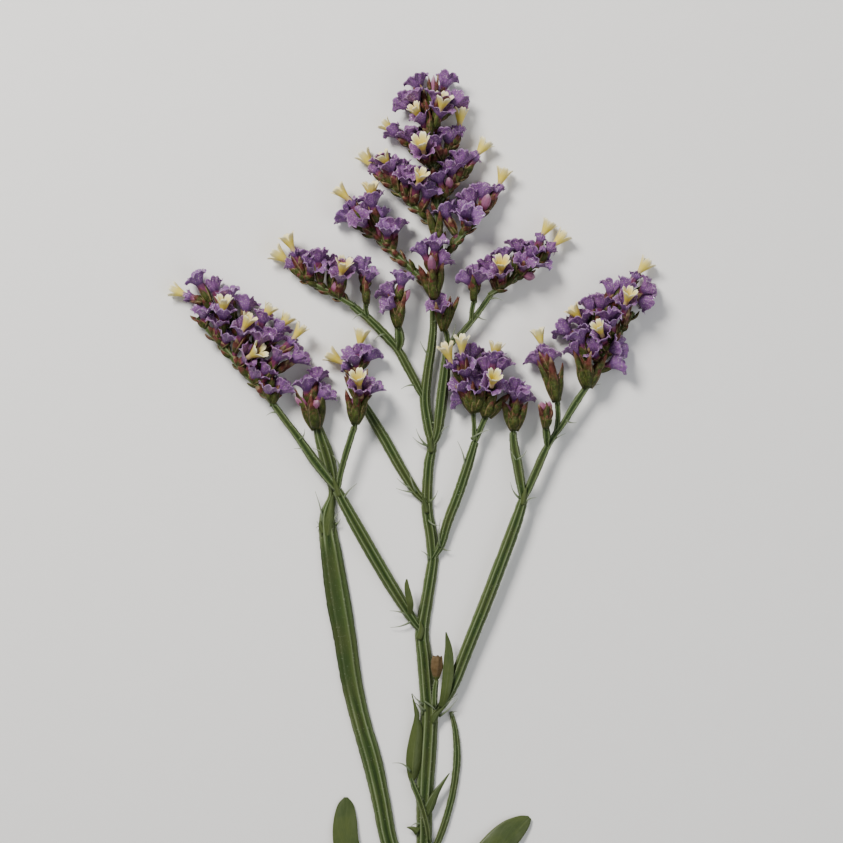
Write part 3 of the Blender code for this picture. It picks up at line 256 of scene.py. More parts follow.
# Flower spikes. A route is (x, y, height) in millimetres along the spike's axis. A row is the
# line its mouths stand on, in the same measure, where its roots start and end as shares of the
# route, and its flowers: c for a papery calyx, o for one with its corolla open, f for a narrow
# young calyx with an open corolla, b for a bud and B for a big one.
SPIKES = {
    "top_spikes": (
        {"route": ((3.8, 157.8, 6.4), (4.6, 170, 7.2), (6, 184, 7.8), (5.2, 198, 8), (3.8, 214, 8.2),
                   (3.2, 226, 8.6), (3.1, 237, 9)),
         "rows": ((((-9.2, 241.2, 3), (-4, 250.2, 7), (3.6, 249.5, 11), (10, 250.6, 7), (15.2, 241.6, 3)),
                   0.93, 0.93, "ccbcc"),
                  (((-4.8, 243.2, 13), (6.8, 243.6, 13)), 0.92, 0.93, "cc"),
                  (((-2.4, 234.8, 15), (7.2, 238.4, 16)), 0.86, 0.9, "oo"))},
        {"route": ((3.8, 212, 8.2), (-2.4, 218.4, 7.6), (-6, 222, 7.4)),
         "rows": ((((-14.4, 229.2, 5.5), (-7.2, 228.8, 9), (-1.2, 228, 12)), 1, 0.2, "occ"),
                  (((-0.4, 220.8, 16),), 0.2, 0.2, "o"))},
        {"route": ((3.8, 212, 8.2), (8.8, 218.8, 7.6), (12, 222, 7.4)),
         "rows": ((((15.4, 233, 6), (10, 229.4, 8), (4, 227.2, 12)), 1, 0.3, "fcc"),)},
        {"route": ((5.6, 188, 7.9), (-5.6, 199, 7), (-10.8, 204, 6.6), (-15.2, 207.4, 6.6)),
         "rows": ((((-23.2, 216, 5), (-18, 218.8, 8), (-14.8, 216, 12), (-9.6, 216, 6), (-3, 213.6, 9)),
                   1, 0.4, "fcocc"),
                  (((-7.6, 211.5, 14), (-2.6, 208, 16), (2.4, 206, 14)), 0.6, 0.3, "coc"))},
        {"route": ((5.2, 196, 8), (8.4, 202, 7.6), (12.2, 206.8, 7), (15.6, 209.6, 6.8)),
         "rows": ((((22.8, 220.4, 5.5), (16, 219.6, 7), (11.2, 216, 10), (5, 212.6, 12)), 1, 0.3, "fccc"),
                  (((10, 208.6, 13),), 0.5, 0.5, "b"))},
        {"route": ((4.2, 163, 6.8), (-4, 171.2, 6.4), (-10.4, 177.2, 6.4), (-19.6, 185.6, 6.4),
                   (-26, 189.6, 6.4)),
         "rows": ((((-34, 196.6, 5), (-30.8, 202.8, 8), (-25.4, 199.4, 5.5), (-21.4, 203, 11),
                    (-17.4, 197.4, 6), (-10.8, 193.6, 7)), 1, 0.5, "cfcocc"),
                  (((-26.6, 194, 13), (-14.6, 190.4, 13)), 0.85, 0.6, "cc"))},
        {"route": ((5, 174, 7.2), (11.2, 181.2, 6.6), (16.8, 188, 6.4), (22.4, 194, 6.4), (25.2, 196.4, 6.4)),
         "rows": ((((31.6, 208.4, 5.5), (24, 207.2, 8), (17.6, 204, 6), (14.6, 198, 11), (7.4, 198.6, 9)),
                   1, 0.35, "fcccc"),
                  (((25.4, 202.4, 12), (18.8, 194.6, 13)), 0.85, 0.5, "bc"))},
        {"route": ((4, 160, 6.8), (3.6, 166, 10.4), (3.2, 171.6, 12.2)),
         "rows": ((((-2.2, 182.6, 13), (4.8, 185.2, 16), (9, 179, 12)), 0.95, 0.85, "ccc"),
                  (((3, 177, 20),), 0.8, 0.8, "b"))},
    ),
    "upper_left_spike": (
        {"route": ((-29.1, 158.3, 6.7), (-37.6, 163.2, 6.6), (-45.6, 167.2, 6.4), (-49.4, 169.8, 6.4)),
         "rows": ((((-56.4, 178.4, 5.5), (-53, 182.4, 8), (-47.6, 180, 5), (-42.8, 181, 9), (-36.4, 178.4, 5),
                    (-32.6, 177.6, 10)), 1, 0.15, "ffcccc"),
                  (((-43, 175.2, 13), (-32.4, 172.2, 15)), 0.8, 0.2, "co"),
                  (((-34, 167.2, 11),), 0.3, 0.3, "b"))},
    ),
    "upper_left_side_spike": (
        {"route": ((-23.2, 159.1, 8.9), (-23.6, 163.6, 8.6), (-23.2, 166, 8.4)),
         "rows": ((((-26.4, 176, 5.4), (-20.8, 172.6, 11)), 0.9, 0.9, "cc"),)},
    ),
    "small_spike": (
        {"route": ((-10.4, 150, 8.8), (-10, 155.2, 9.6), (-9.8, 159.6, 10.2)),
         "rows": ((((-8.8, 171.2, 12), (-16.2, 166, 8), (-16.2, 159.6, 13)), 1, 0.5, "ccc"),
                  (((-5.4, 164.5, 9),), 0.7, 0.7, "b"))},
    ),
    "upper_right_spike": (
        {"route": ((27.2, 162.8, 7), (33.6, 167, 6.8), (40.4, 171.4, 6.6), (45.4, 174.6, 6.6)),
         "rows": ((((54, 184, 5.5), (47.6, 188.4, 6), (44.4, 182.8, 11), (38, 184.4, 5), (30.8, 181.4, 8),
                    (24.8, 176.8, 6)), 1, 0.1, "ffcccc"),
                  (((48.6, 177.8, 10), (40.6, 176.6, 14), (31, 173.8, 15)), 0.95, 0.2, "cco"),
                  (((44, 168.4, 9),), 0.6, 0.6, "b"))},
    ),
    "upper_right_side_spike": (
        {"route": ((20.1, 160.2, 8.9), (20.1, 163.2, 8.8), (20.4, 164.6, 8.6)),
         "rows": ((((15.6, 171.6, 8), (23.4, 172.2, 12)), 0.8, 0.9, "cc"),)},
    ),
    "centre_buds": (
        {"route": ((8.1, 149, 8.4), (7.6, 151.6, 8.8), (7.4, 153.4, 9)),
         "rows": ((((5.2, 160, 14), (11.4, 159.4, 11)), 0.9, 0.7, "cb"),)},
    ),
    "left_spike": (
        {"route": ((-60.3, 118.4, 7.2), (-71.6, 131.2, 6.6), (-83, 144.4, 6.4), (-90.6, 153, 6.4)),
         "rows": ((((-88, 158, 11), (-79.6, 157.4, 14), (-71.6, 151, 15), (-63.8, 147.6, 14),
                    (-55.8, 140.8, 13)), 0.92, 0.2, "coocc"),
                  (((-77.4, 148.4, 10), (-68, 138.8, 14), (-60.6, 134.2, 11), (-54, 127, 8)), 0.7, 0.05,
                   "cocc"),
                  (((-81.6, 154, 12), (-66.5, 152.5, 9), (-57.4, 148, 7)), 0.8, 0.35, "ccc"),
                  (((-65.5, 133.6, 9), (-60.4, 127.6, 11)), 0.3, 0.1, "cc"))},
        {"route": ((-60.8, 119, 7.2), (-61.6, 128, 7.6), (-68.6, 140, 7.2), (-79.4, 151.4, 6.8),
                   (-88.2, 159, 6.6)),
         "rows": ((((-98, 163, 3.2), (-92.6, 170.4, 8), (-85, 167.4, 3), (-78.4, 164.8, 8), (-70.8, 161.2, 4),
                    (-62.8, 155.8, 9), (-56, 151.2, 5), (-49.2, 146, 9), (-47.4, 139.2, 8)), 1, 0.2,
                   "fccccoofc"),)},
    ),
    "left_lower_spike": (
        {"route": ((-42.8, 110, 5.2), (-45.2, 115.2, 6), (-46.2, 118.6, 6.6)),
         "rows": ((((-47.6, 130, 8), (-41.8, 132.4, 2.6), (-37.2, 125, 7)), 1, 0.8, "ccc"),
                  (((-51.6, 121, 9), (-42.6, 119.8, 14)), 0.7, 0.6, "bb"))},
    ),
    "middle_left_front_spike": (
        {"route": ((-27.7, 109.6, 9.2), (-26.2, 116.4, 11), (-25.8, 119.4, 12)),
         "rows": ((((-19, 127.6, 12), (-25.4, 127.6, 20)), 0.8, 0.9, "co"),
                  (((-31.4, 120.4, 12),), 0.5, 0.5, "b"))},
    ),
    "middle_left_back_spike": (
        {"route": ((-24.5, 118.9, 4.3), (-25.4, 126, 5.4), (-26, 132, 6.4)),
         "rows": ((((-35, 137.6, 5.5), (-29, 139.6, 11), (-26.6, 144.8, 6), (-20, 141.2, 7)), 0.75, 1,
                   "fcfc"),)},
    ),
    "middle_right_spikes": (
        {"route": ((19.6, 115.9, 6.8), (18.6, 121.2, 7), (17.4, 126, 7.2)),
         "rows": ((((8.6, 137.6, 13), (13.6, 141.6, 12.6), (19.4, 142.4, 5.5)), 0.85, 1, "ffc"),
                  (((12.6, 128.2, 11), (15.8, 135, 14), (21.4, 133.4, 9.6)), 0.4, 0.9, "ccc"),
                  (((11.4, 122.4, 7),), 0.4, 0.4, "c"))},
        {"route": ((19.7, 116.8, 6.8), (24, 119.6, 7), (26.4, 123.4, 7.2)),
         "rows": ((((24.2, 136.2, 6), (28.6, 140, 9), (32.2, 137.2, 7)), 0.8, 1, "coc"),
                  (((28, 127.8, 17), (21.4, 127.6, 14)), 0.8, 0.4, "oc"))},
    ),
    "right_inner_spike": (
        {"route": ((35.6, 107.6, 6.4), (36, 113.4, 6.8), (36.4, 116.6, 7)),
         "rows": ((((34.6, 127.6, 4.6), (37.8, 126.4, 12), (42, 124, 6)), 0.8, 1, "ccc"),
                  (((31.4, 118.6, 9),), 0.4, 0.4, "b"))},
    ),
    "right_small_spike": (
        {"route": ((53.2, 119.6, 7.6), (51.6, 127.2, 7.4), (49.8, 131.6, 7.2)),
         "rows": ((((42.2, 139, 6), (46, 145.4, 9), (50.2, 141.2, 6)), 0.8, 1, "cfc"),
                  (((55.2, 131, 10),), 0.3, 0.3, "b"))},
    ),
    "right_bud": (
        {"route": ((48.6, 109.8, 9.6), (48.4, 111.8, 9.8), (48.3, 113.4, 10)),
         "rows": ((((46.4, 119.8, 10), (50, 119.4, 11)), 0.8, 0.8, "bb"),)},
    ),
    "right_spike": (
        {"route": ((65.4, 125.8, 7.2), (70, 135.6, 6.6), (77.4, 146.2, 6.4), (83.8, 155.2, 6.4)),
         "rows": ((((58.6, 143, 9), (66, 141, 13), (70.8, 147.4, 16), (74.4, 154.8, 13), (80.8, 161.4, 15)),
                   0.05, 0.85, "ccoco"),
                  (((80.2, 136, 6), (79.6, 142.6, 9)), 0.15, 0.4, "cc"),
                  (((60.6, 148.6, 11), (66.4, 153.2, 10), (72.4, 157.4, 12)), 0.1, 0.6, "ccc"))},
        {"route": ((65.6, 126.4, 7.2), (63.8, 135, 7.4), (66.6, 145, 7.2), (74.6, 155, 6.8),
                   (82.4, 161, 6.6)),
         "rows": ((((54, 150.4, 5), (61.6, 155.4, 9), (66, 161, 4), (72, 162.6, 9), (76.4, 168.4, 3.2),
                    (82, 168.6, 10), (87.2, 173, 5), (91.6, 166, 8), (90.8, 159.2, 3.2)), 0.3, 1,
                   "coccccfcc"),)},
    ),
    "axil_bud": (
        {"route": ((4.3, -1, 4.9), (4.4, 4, 5.6), (5, 8, 6.4)),
         "rows": ((((5.4, 17.4, 6.8),), 1, 1, "B"),)},
    ),
}

# Leaves. The midrib is (x, y, height) in millimetres from the base to the tip, and the outline
# is (share of the length, half width to the left, half width to the right) in millimetres. The
# leaf at the stem's wing is blown up like a pouch.
LEAVES = {
    "lower_left_leaf": {
        "midrib": ((-2.6, -91, 2), (-16, -84, 5), (-27, -72, 5.2), (-31.2, -56, 3), (-31.3, -39.3, 1.2)),
        "outline": ((0, 1.2, 1.2), (0.16, 3, 2.2), (0.32, 4.6, 4.6), (0.5, 5, 6.2), (0.68, 5.4, 5),
                    (0.84, 4.9, 4.7), (0.95, 3.3, 3.2), (1, 0.7, 0.7)),
    },
    "lower_right_leaf": {
        "midrib": ((-0.6, -93, 2), (11, -80, 5), (21, -69, 5.6), (31.8, -57.4, 3.6), (42.4, -47.4, 1.2)),
        "outline": ((0, 1.2, 1.2), (0.16, 2.2, 3), (0.32, 4.2, 4), (0.5, 6, 4.4), (0.68, 7, 4.8),
                    (0.84, 6.3, 4.2), (0.95, 3.6, 2.6), (1, 0.8, 0.8)),
    },
    "stem_wing_leaf": {
        "midrib": ((-5, -33.4, 2.2), (-4.6, -27, 3.9), (-4.1, -20, 4.3), (-3.2, -12, 4), (-3.2, -3.6, 3.6)),
        "outline": ((0, 0.4, 0.5), (0.1, 1.6, 2), (0.3, 2.7, 3.2), (0.5, 2.5, 3.1), (0.7, 1.9, 2.6),
                    (0.86, 0.8, 1.2), (1, 0.1, 0.3)),
        "arch": 0.6,
        "rib_depth": 0,
    },
    "left_axil_leaf": {
        "midrib": ((-5.6, 33.6, 3), (-5.4, 38.4, 6.4), (-6.2, 42.4, 7.2), (-6.9, 45.6, 7.4),
                   (-6.9, 48.4, 7.2)),
        "outline": ((0, 0.8, 0.8), (0.16, 1.1, 1), (0.32, 1.3, 1.2), (0.5, 1.4, 1.2), (0.68, 1.2, 1.1),
                    (0.84, 0.9, 0.9), (0.95, 0.5, 0.5), (1, 0.2, 0.2)),
    },
    "right_axil_leaf": {
        "midrib": ((6.8, -3.2, 4.4), (8.5, 3, 7.2), (9.6, 11, 7.8), (9.8, 20, 7.4), (8.8, 27.2, 7)),
        "outline": ((0, 1, 1), (0.16, 1.6, 1.6), (0.32, 2, 2.1), (0.5, 2.1, 2.2), (0.68, 1.8, 1.9),
                    (0.84, 1.1, 1.2), (0.95, 0.5, 0.5), (1, 0.2, 0.2)),
    },
}

# Slender curved points that the nodes of a stem also carry, past the tips above: (x, y, height)
# of the root, then of the end, and how far it bows to its left, all in millimetres.
NODE_HAIRS = {
    "main_stem": (((-5.4, -28.6, 4.4), (-12.8, -25.4, 3.6), 1.4),
                  ((0.4, -4.4, 3.2), (-2.4, 0.2, 4.2), -0.6), ((6, -6.8, 3), (13.6, 0.6, 4.6), 0.6),
                  ((0, -0.6, 3.3), (6.2, -5.8, 3.1), -0.4), ((1.6, 72, 2.4), (6.4, 69.8, 3.4), 0.8),
                  ((3, 111, 3.4), (7.6, 108.4, 3.6), -0.7), ((3.8, 151, 6.6), (8, 155.6, 7.4), 0.6)),
    "left_stem": (((-41.4, 67.6, 2.2), (-43, 71.4, 2.4), 0.3), ((-35.6, 70, 2.4), (-33.4, 72.4, 2.6), 0.2),
                  ((-38.6, 97, 3.4), (-44.4, 100.6, 4), 0.7)),
    "right_branch": (((9.4, 3, 5.4), (14.6, 9.4, 4.8), -0.8), ((40.2, 79, 7.4), (45, 81, 6.8), -0.6),
                     ((56.6, 112, 7.4), (61, 111, 6.6), 0.5), ((37, 96, 7.4), (41, 99.8, 7.4), 0.5)),
    "left_branch": (((-46.4, 99, 8.2), (-52, 100.6, 7.6), 0.7), ((-58.4, 115, 7.6), (-63, 113.8, 7), 0.6)),
    "centre_branch": (((14.2, 146, 7.2), (18.6, 145, 6.6), 0.5), ((21, 154, 7.4), (25, 152, 6.8), 0.5)),
    "upper_left_branch": (((-15.6, 146.4, 6.4), (-20, 143.8, 5.6), 0.6),
                          ((-24.4, 154.4, 7), (-28.6, 152, 6.2), 0.5)),
}

# Small blades at the nodes of a stem, laid out as the leaves are: flaps of a wing, and scales
# that clasp a fork.
NODE_BLADES = {
    "main_stem": (
        {"midrib": ((1, -47.5, 3.2), (4.6, -38.4, 4.2), (10.2, -29.4, 4.2)),
         "outline": ((0, 0.4, 0.4), (0.25, 1.9, 1.5), (0.5, 1.6, 1), (0.8, 0.7, 0.4), (1, 0.1, 0.1))},
        {"midrib": ((-2.4, -53.2, 3.2), (-4.4, -51.8, 3.2), (-6.9, -51.2, 2.8)),
         "outline": ((0, 1.5, 1.5), (0.5, 0.8, 0.9), (1, 0.1, 0.1))},
        {"midrib": ((-2.6, -9.4, 3.6), (-3.4, -4, 4.2), (-4.9, 2.4, 4.4)),
         "outline": ((0, 0.3, 0.3), (0.3, 0.7, 1.2), (0.6, 0.4, 0.6), (0.85, 0.16, 0.2), (1, 0.1, 0.1))},
        {"midrib": ((3.4, -9.6, 3.9), (5.4, -5.8, 4.4), (8.4, -2.6, 4.8)),
         "outline": ((0, 0.3, 0.3), (0.3, 1.5, 1), (0.6, 0.8, 0.6), (1, 0.1, 0.1))},
        {"midrib": ((-2.2, 24, 3.4), (-1, 27.6, 3.9), (-1.4, 31.4, 4.2)),
         "outline": ((0, 1.2, 1.2), (0.5, 1, 1), (1, 0.1, 0.1))},
        {"midrib": ((1.2, 74.8, 3.1), (0.4, 78.4, 3.6), (-0.6, 81.8, 3.9)),
         "outline": ((0, 1, 1), (0.5, 0.8, 0.8), (1, 0.1, 0.1))},
        {"midrib": ((3, 99, 3.9), (2.6, 102.4, 4.4), (3.2, 105.6, 4.6)),
         "outline": ((0, 1, 1), (0.5, 0.8, 0.8), (1, 0.1, 0.1))},
    ),
    "left_stem": (
        {"midrib": ((-38.9, 64.2, 2.6), (-37.9, 71.5, 4.2), (-36.5, 82, 3.4)),
         "outline": ((0, 3.3, 2.9), (0.12, 2.7, 2.4), (0.5, 1.7, 1.6), (0.85, 0.8, 0.8), (1, 0.2, 0.2))},
        {"midrib": ((-40.2, 66.6, 3.3), (-41.4, 69.4, 3.4), (-41.6, 71.6, 3)),
         "outline": ((0, 1, 1), (0.5, 0.9, 0.9), (1, 0.2, 0.2))},
    ),
    "left_branch": (
        {"midrib": ((-33.8, 81.4, 8.8), (-35, 85.2, 9.4), (-36.4, 89.4, 9.4)),
         "outline": ((0, 1.1, 1.1), (0.5, 0.9, 0.9), (1, 0.1, 0.1))},
    ),
    "right_branch": (
        {"midrib": ((39.4, 78, 8), (40, 81.6, 8.4), (41, 85.4, 8.4)),
         "outline": ((0, 1.1, 1.1), (0.5, 0.9, 0.9), (1, 0.1, 0.1))},
    ),
}

# Pointed bracts that stand alone or clasp the foot of a spike: (x, y, height) of the foot and of
# the tip, and the half width.
LONE_BRACTS = {
    "top_spikes": (
        ((2.4, 231, 9.6), (-0.8, 243.4, 11), 1.2), ((3, 232, 9.8), (1.8, 248.4, 11.6), 1.1),
        ((3.8, 232, 10), (4.8, 247, 12), 1.2), ((3, 227, 12), (0.8, 238.4, 15), 1.5),
        ((4, 228, 12.4), (5.4, 240, 15), 1.4), ((2.6, 222, 12), (2, 233.4, 15.4), 1.6),
        ((3.8, 161, 10.4), (-1.6, 172.6, 13.6), 2.2), ((4.6, 161, 10.6), (7.4, 173.4, 13.4), 2.2),
        ((4.2, 160, 12), (3, 172.8, 16.6), 2.2), ((6, 182, 9.8), (6.4, 193.4, 13.2), 2),
        ((5, 184, 9.8), (1.6, 195.2, 13), 2),
    ),
    "left_lower_spike": (
        ((-43, 108.4, 6.4), (-50.4, 121.8, 8.2), 2.6), ((-42.8, 108.4, 7), (-40, 122.4, 8), 2.6),
        ((-43.4, 108.8, 8), (-45.4, 121.6, 13), 2.6),
    ),
    "middle_left_front_spike": (
        ((-27.4, 110.4, 10.6), (-30.8, 121.8, 13.4), 2), ((-27.2, 110.4, 11), (-22.6, 121.4, 14), 2.1),
        ((-27.4, 110.8, 11.8), (-26.6, 122, 16), 2.1),
    ),
    "middle_left_back_spike": (
        ((-25, 118, 5.4), (-31.2, 129.4, 7.4), 2.1), ((-24.8, 118, 5.8), (-22.4, 130.4, 8.6), 2.1),
    ),
    "middle_right_spikes": (
        ((19.8, 114.6, 8.4), (13.4, 124.4, 9.6), 2.2), ((20, 114.8, 8.8), (19.2, 126.4, 11.4), 2.3),
        ((20.6, 115.4, 8.6), (24.2, 126.6, 13), 2.1), ((25, 113.2, 8.2), (22.4, 123.6, 10.2), 2.3),
        ((25.2, 113.2, 8.8), (28.4, 124.6, 11.2), 2.5), ((25.4, 113.6, 8.2), (33.2, 121.8, 9.8), 2.3),
    ),
    "right_inner_spike": (
        ((35.8, 107.8, 7.6), (31.8, 118.6, 9.6), 2.1), ((36, 107.8, 8.2), (37, 119.4, 11.2), 2.3),
        ((36.2, 108, 7.6), (41, 118.4, 9.2), 2.1),
    ),
    "right_small_spike": (
        ((53, 119.4, 8.6), (46.6, 133.8, 9.2), 2.2), ((53, 119.4, 9.4), (50.8, 134.4, 12.4), 2.6),
        ((53.2, 119.6, 8.6), (54.8, 133.6, 9.8), 2.2),
    ),
    "right_bud": (
        ((48.6, 108.8, 10.6), (46.2, 117.6, 12.4), 1.6), ((48.6, 108.8, 10.8), (50.8, 117.4, 12.6), 1.6),
        ((48.6, 108.8, 11.2), (48.6, 118.4, 13.6), 1.6),
    ),
    "right_spike": (
        ((65.2, 125, 8.6), (60.4, 137.2, 10.4), 2.4), ((65.4, 125, 9.2), (66.2, 138, 13.2), 2.5),
        ((65.6, 125.2, 8.6), (71.8, 136.4, 10), 2.4),
    ),
    "left_spike": (
        ((-60.2, 118.4, 7.8), (-57.4, 127, 9.4), 1.6), ((-60.8, 119.2, 7.8), (-65.4, 127.6, 8.6), 1.6),
    ),
    "centre_buds": (
        ((8, 147.6, 9.6), (10.2, 159.4, 12.6), 1.3), ((8.2, 147.8, 9.4), (13.6, 160.2, 11.6), 1.2),
        ((7.8, 147.6, 9.8), (4.6, 158.4, 13), 1.6),
    ),
    "small_spike": (
        ((-10.4, 149, 10), (-13.8, 160.6, 12.4), 1.9), ((-10.2, 149, 10.6), (-8, 161.4, 13.4), 2),
    ),
    "upper_right_side_spike": (((20, 159.6, 10), (19.4, 169.6, 13), 1.9),),
    "upper_left_side_spike": (((-23.2, 158.4, 10), (-23.4, 168.6, 12.4), 1.9),),
}

# The layers of a lone bract: where each starts, its shares of the length and of the width, how far
# it may turn, in radians, how red it may be, and how far out it sits, in millimetres.
LONE_BRACT_LAYERS = (
    (0.0, 1.0, 1.0, 0.5, 0.45, 0.3), (0.42, 0.72, 0.65, 1.2, 1.0, 0.3), (0.3, 0.64, 0.75, 1.6, 0.9, 0.3),
    (0.04, 0.58, 0.75, 0.9, 0.35, 0.9),
)

# Where the bracts round a flower's foot stand: the angle from its outer side in degrees, and the
# shares of the length and of the width.
BRACT_PLACES = ((0, 1.0, 1.0), (118, 0.84, 0.92), (236, 0.78, 0.92), (62, 0.56, 0.80))

# Which sockets of a colour mix hold its share and its two colours, and which puts out the colour.
MIX_INPUTS = (0, 6, 7)
MIX_OUTPUT = 2

# How fine the patterns of the surfaces and their painted glints are, to a metre. A leaf's veins are in
# radians along it.
CRINKLE_SCALE = 800.0
NET_SCALE = 1700.0
GLINT_SCALE = 2400.0
SPECK_SCALE = 2200.0
PATCH_SCALE = 75.0
HAIR_SCALE = 420.0
FLOOR_SCALE = 90.0
VEIN_WAVES = 52.0

# The stage. The view's centre on the table and the height it is framed at are in millimetres, and
# the rest in metres; a light is its name, its place, its size and its colour.
VIEW_CENTRE = (-1.0, 111.4)
VIEW_LEVEL = 6.0
CAMERA_REACH = 20.0
FLOOR_HALF_SIDE = 4.0
LIGHTS = (("key_light", (-0.55, 0.85, 0.95), 0.45, (1.0, 0.97, 0.93)),
          ("fill_light", (0.75, -0.25, 1.0), 1.2, (0.93, 0.96, 1.0)))
SKY_COLOUR = (0.95, 0.97, 1.0)
SKY_STRENGTH = 0.30

Flower = namedtuple("Flower", "kind root way reach roll size lift number")


# Settings

def colour_setting(name, description, default):
    return bpy.props.FloatVectorProperty(name=name, description=description, default=default,
                                         size=3, min=0.0, max=1.0, subtype="COLOR")


def length_setting(name, description, default):
    return bpy.props.FloatProperty(name=name, description=description, default=default,
                                   min=0.0, unit="LENGTH", subtype="DISTANCE")


def share_setting(name, description, default):
    return bpy.props.FloatProperty(name=name, description=description, default=default,
                                   min=0.0, max=1.0, subtype="FACTOR")


def count_setting(name, description, default):
    return bpy.props.IntProperty(name=name, description=description, default=default, min=1)


class STATICE_PG_stems(bpy.types.PropertyGroup):
    rib: colour_setting("Rib colour", "The pale ribs along a stem", (0.160, 0.200, 0.100))
    face: colour_setting("Face colour", "The green between ribs and furrows", (0.046, 0.074, 0.018))
    # The furrow colour also stands as painted shade on the left half of a broad stem.
    furrow_and_shade: colour_setting("Furrow colour", "The dark furrows between the ribs", (0.015, 0.031, 0.006))
    blush: colour_setting("Blush colour", "Brown tint in patches of a stem", (0.120, 0.090, 0.030))
    hair: colour_setting("Hair colour", "Hairs and node points", (0.50, 0.54, 0.40))
    ring_spacing: length_setting("Ring spacing", "Distance between a stem's rings", 0.0013)
    hair_spacing: length_setting("Hair spacing", "Distance between the hairs of a wing", 0.0024)
    hair_length: length_setting("Hair length", "Length of the longest hairs", 0.0008)
    section_steps: count_setting("Section steps", "Faces between two corners of a section", 4)


class STATICE_PG_leaves(bpy.types.PropertyGroup):
    blade: colour_setting("Blade colour", "The leaf blade", (0.050, 0.069, 0.016))
    blade_deep: colour_setting("Deep blade colour", "Darker patches of the blade", (0.028, 0.046, 0.009))
    margin: colour_setting("Margin colour", "Midrib and margin", (0.125, 0.155, 0.060))
    wall: length_setting("Blade thickness", "Thickness of a leaf", 0.0005)
    columns: count_setting("Columns", "Faces across a leaf", 16)
    rows: count_setting("Rows", "Faces along a leaf", 44)


class STATICE_PG_flowers(bpy.types.PropertyGroup):
    rim: colour_setting("Rim colour", "The pale rim of a calyx", (0.40, 0.27, 0.48))
    limb: colour_setting("Limb colour", "The papery limb of a calyx", (0.196, 0.074, 0.252))
    # The deep limb colour is partly the calyx's own darker purple near its throat and partly painted shade
    # inside the funnel.
    limb_deep_and_shade: colour_setting("Deep limb colour", "The depth of the funnel", (0.070, 0.022, 0.105))
    tube: colour_setting("Tube colour", "The tube below the limb", (0.180, 0.036, 0.080))
    petal: colour_setting("Petal colour", "The lobes of a corolla", (0.74, 0.65, 0.27))
    # The petal rim colour is also the painted highlight of the glints on a calyx.
    petal_rim_and_glint: colour_setting("Petal rim colour", "The edges of a corolla's lobes", (0.88, 0.84, 0.60))
    petal_throat: colour_setting("Throat colour", "The throat of a corolla", (0.66, 0.54, 0.08))
    bract: colour_setting("Bract colour", "The foot of a bract", (0.056, 0.076, 0.014))
    bract_tip: colour_setting("Bract tip colour", "The tip of a bract", (0.120, 0.032, 0.024))
    # The straw colour also gives the bracts a few dots of painted highlight.
    straw: colour_setting("Straw colour", "The papery edge of a bract", (0.27, 0.19, 0.10))
    bud: colour_setting("Bud colour", "Closed buds", (0.31, 0.12, 0.21))
    calyx_wall: length_setting("Calyx thickness", "Thickness of the papery limb", 0.00012)
    petal_wall: length_setting("Petal thickness", "Thickness of a corolla", 0.00018)
    bract_wall: length_setting("Bract thickness", "Thickness of a bract", 0.00022)
    limb_radius: length_setting("Limb radius", "How far a calyx's lobes reach out", 0.0049)
    corolla_stand: length_setting("Corolla stand", "How far a corolla stands past the solids' one", 0.0014)
    pleat: share_setting("Pleat", "How deep the limb's pleats are", 0.5)
    calyx_columns: count_setting("Calyx columns", "Faces round a calyx", 50)


class STATICE_PG_stage(bpy.types.PropertyGroup):
    floor: colour_setting("Floor colour", "The plain floor", (0.88, 0.87, 0.85))
    view_width: length_setting("View width", "Width of the table that the camera takes in", 0.3372)
    camera_height: length_setting("Camera height", "Height of the camera over the table", 1.7)
    key_power: bpy.props.FloatProperty(name="Key power", description="Power of the soft main light",
                                       default=26.0, min=0.0, unit="POWER")
    fill_power: bpy.props.FloatProperty(name="Fill power", description="Power of the fill light",
                                        default=6.0, min=0.0, unit="POWER")


# Curves and places

def smooth_curve(points, spacing):
    """Points no further apart than spacing on a smooth curve through points of any length."""
    ends = [2 * points[0] - points[1], *points, 2 * points[-1] - points[-2]]
    found = []
    for a, b, c, d in zip(ends, ends[1:], ends[2:], ends[3:]):
        steps = max(1, math.ceil((c - b).length / spacing))
        for step in range(steps):
            t = step / steps
            found.append(0.5 * (2 * b + (c - a) * t + (2 * a - 5 * b + 4 * c - d) * t * t
                                + (3 * b - a - 3 * c + d) * t ** 3))
    return [*found, points[-1].copy()]


def point_along(curve, share):
    spot = share * (len(curve) - 1)
    before = min(int(spot), len(curve) - 2)
    return curve[before].lerp(curve[before + 1], spot - before)


def flat_side(way):
    """The level direction to the right of a way."""
    return way.cross(UP).normalized()


def frame_at(place, along, across, rise):
    """A matrix at place whose Z runs along, X lies flat and Y points up, scaled across and up."""
    along = along.normalized()
    side = flat_side(along)
    up = side.cross(along)
    turn = Matrix((side * across, up * rise, along)).transposed().to_4x4()
    return Matrix.Translation(place) @ turn


def frames_along(places, widths, heights):
    """One frame for each place of a curve, scaled by the width and the height there."""
    frames = []
    for number, place in enumerate(places):
        before = places[max(number - 1, 0)]
        after = places[min(number + 1, len(places) - 1)]
        frames.append(frame_at(place, after - before, widths[number], heights[number]))
    return frames


def stem_frames(route, spacing):
    """Frames along a winged stem whose route is (x, y, height, half width) in millimetres."""
    stations = smooth_curve([Vector(point) for point in route], spacing)
    heights = [min(station.w * STEM_HEIGHT_SHARE, STEM_MOST_HALF_HEIGHT) for station in stations]
    return frames_along([station.to_3d() for station in stations], [s.w for s in stations], heights)


def rachis_curve(spike):
    return smooth_curve([Vector(point) for point in spike["route"]], RACHIS_STATION_SPACING)


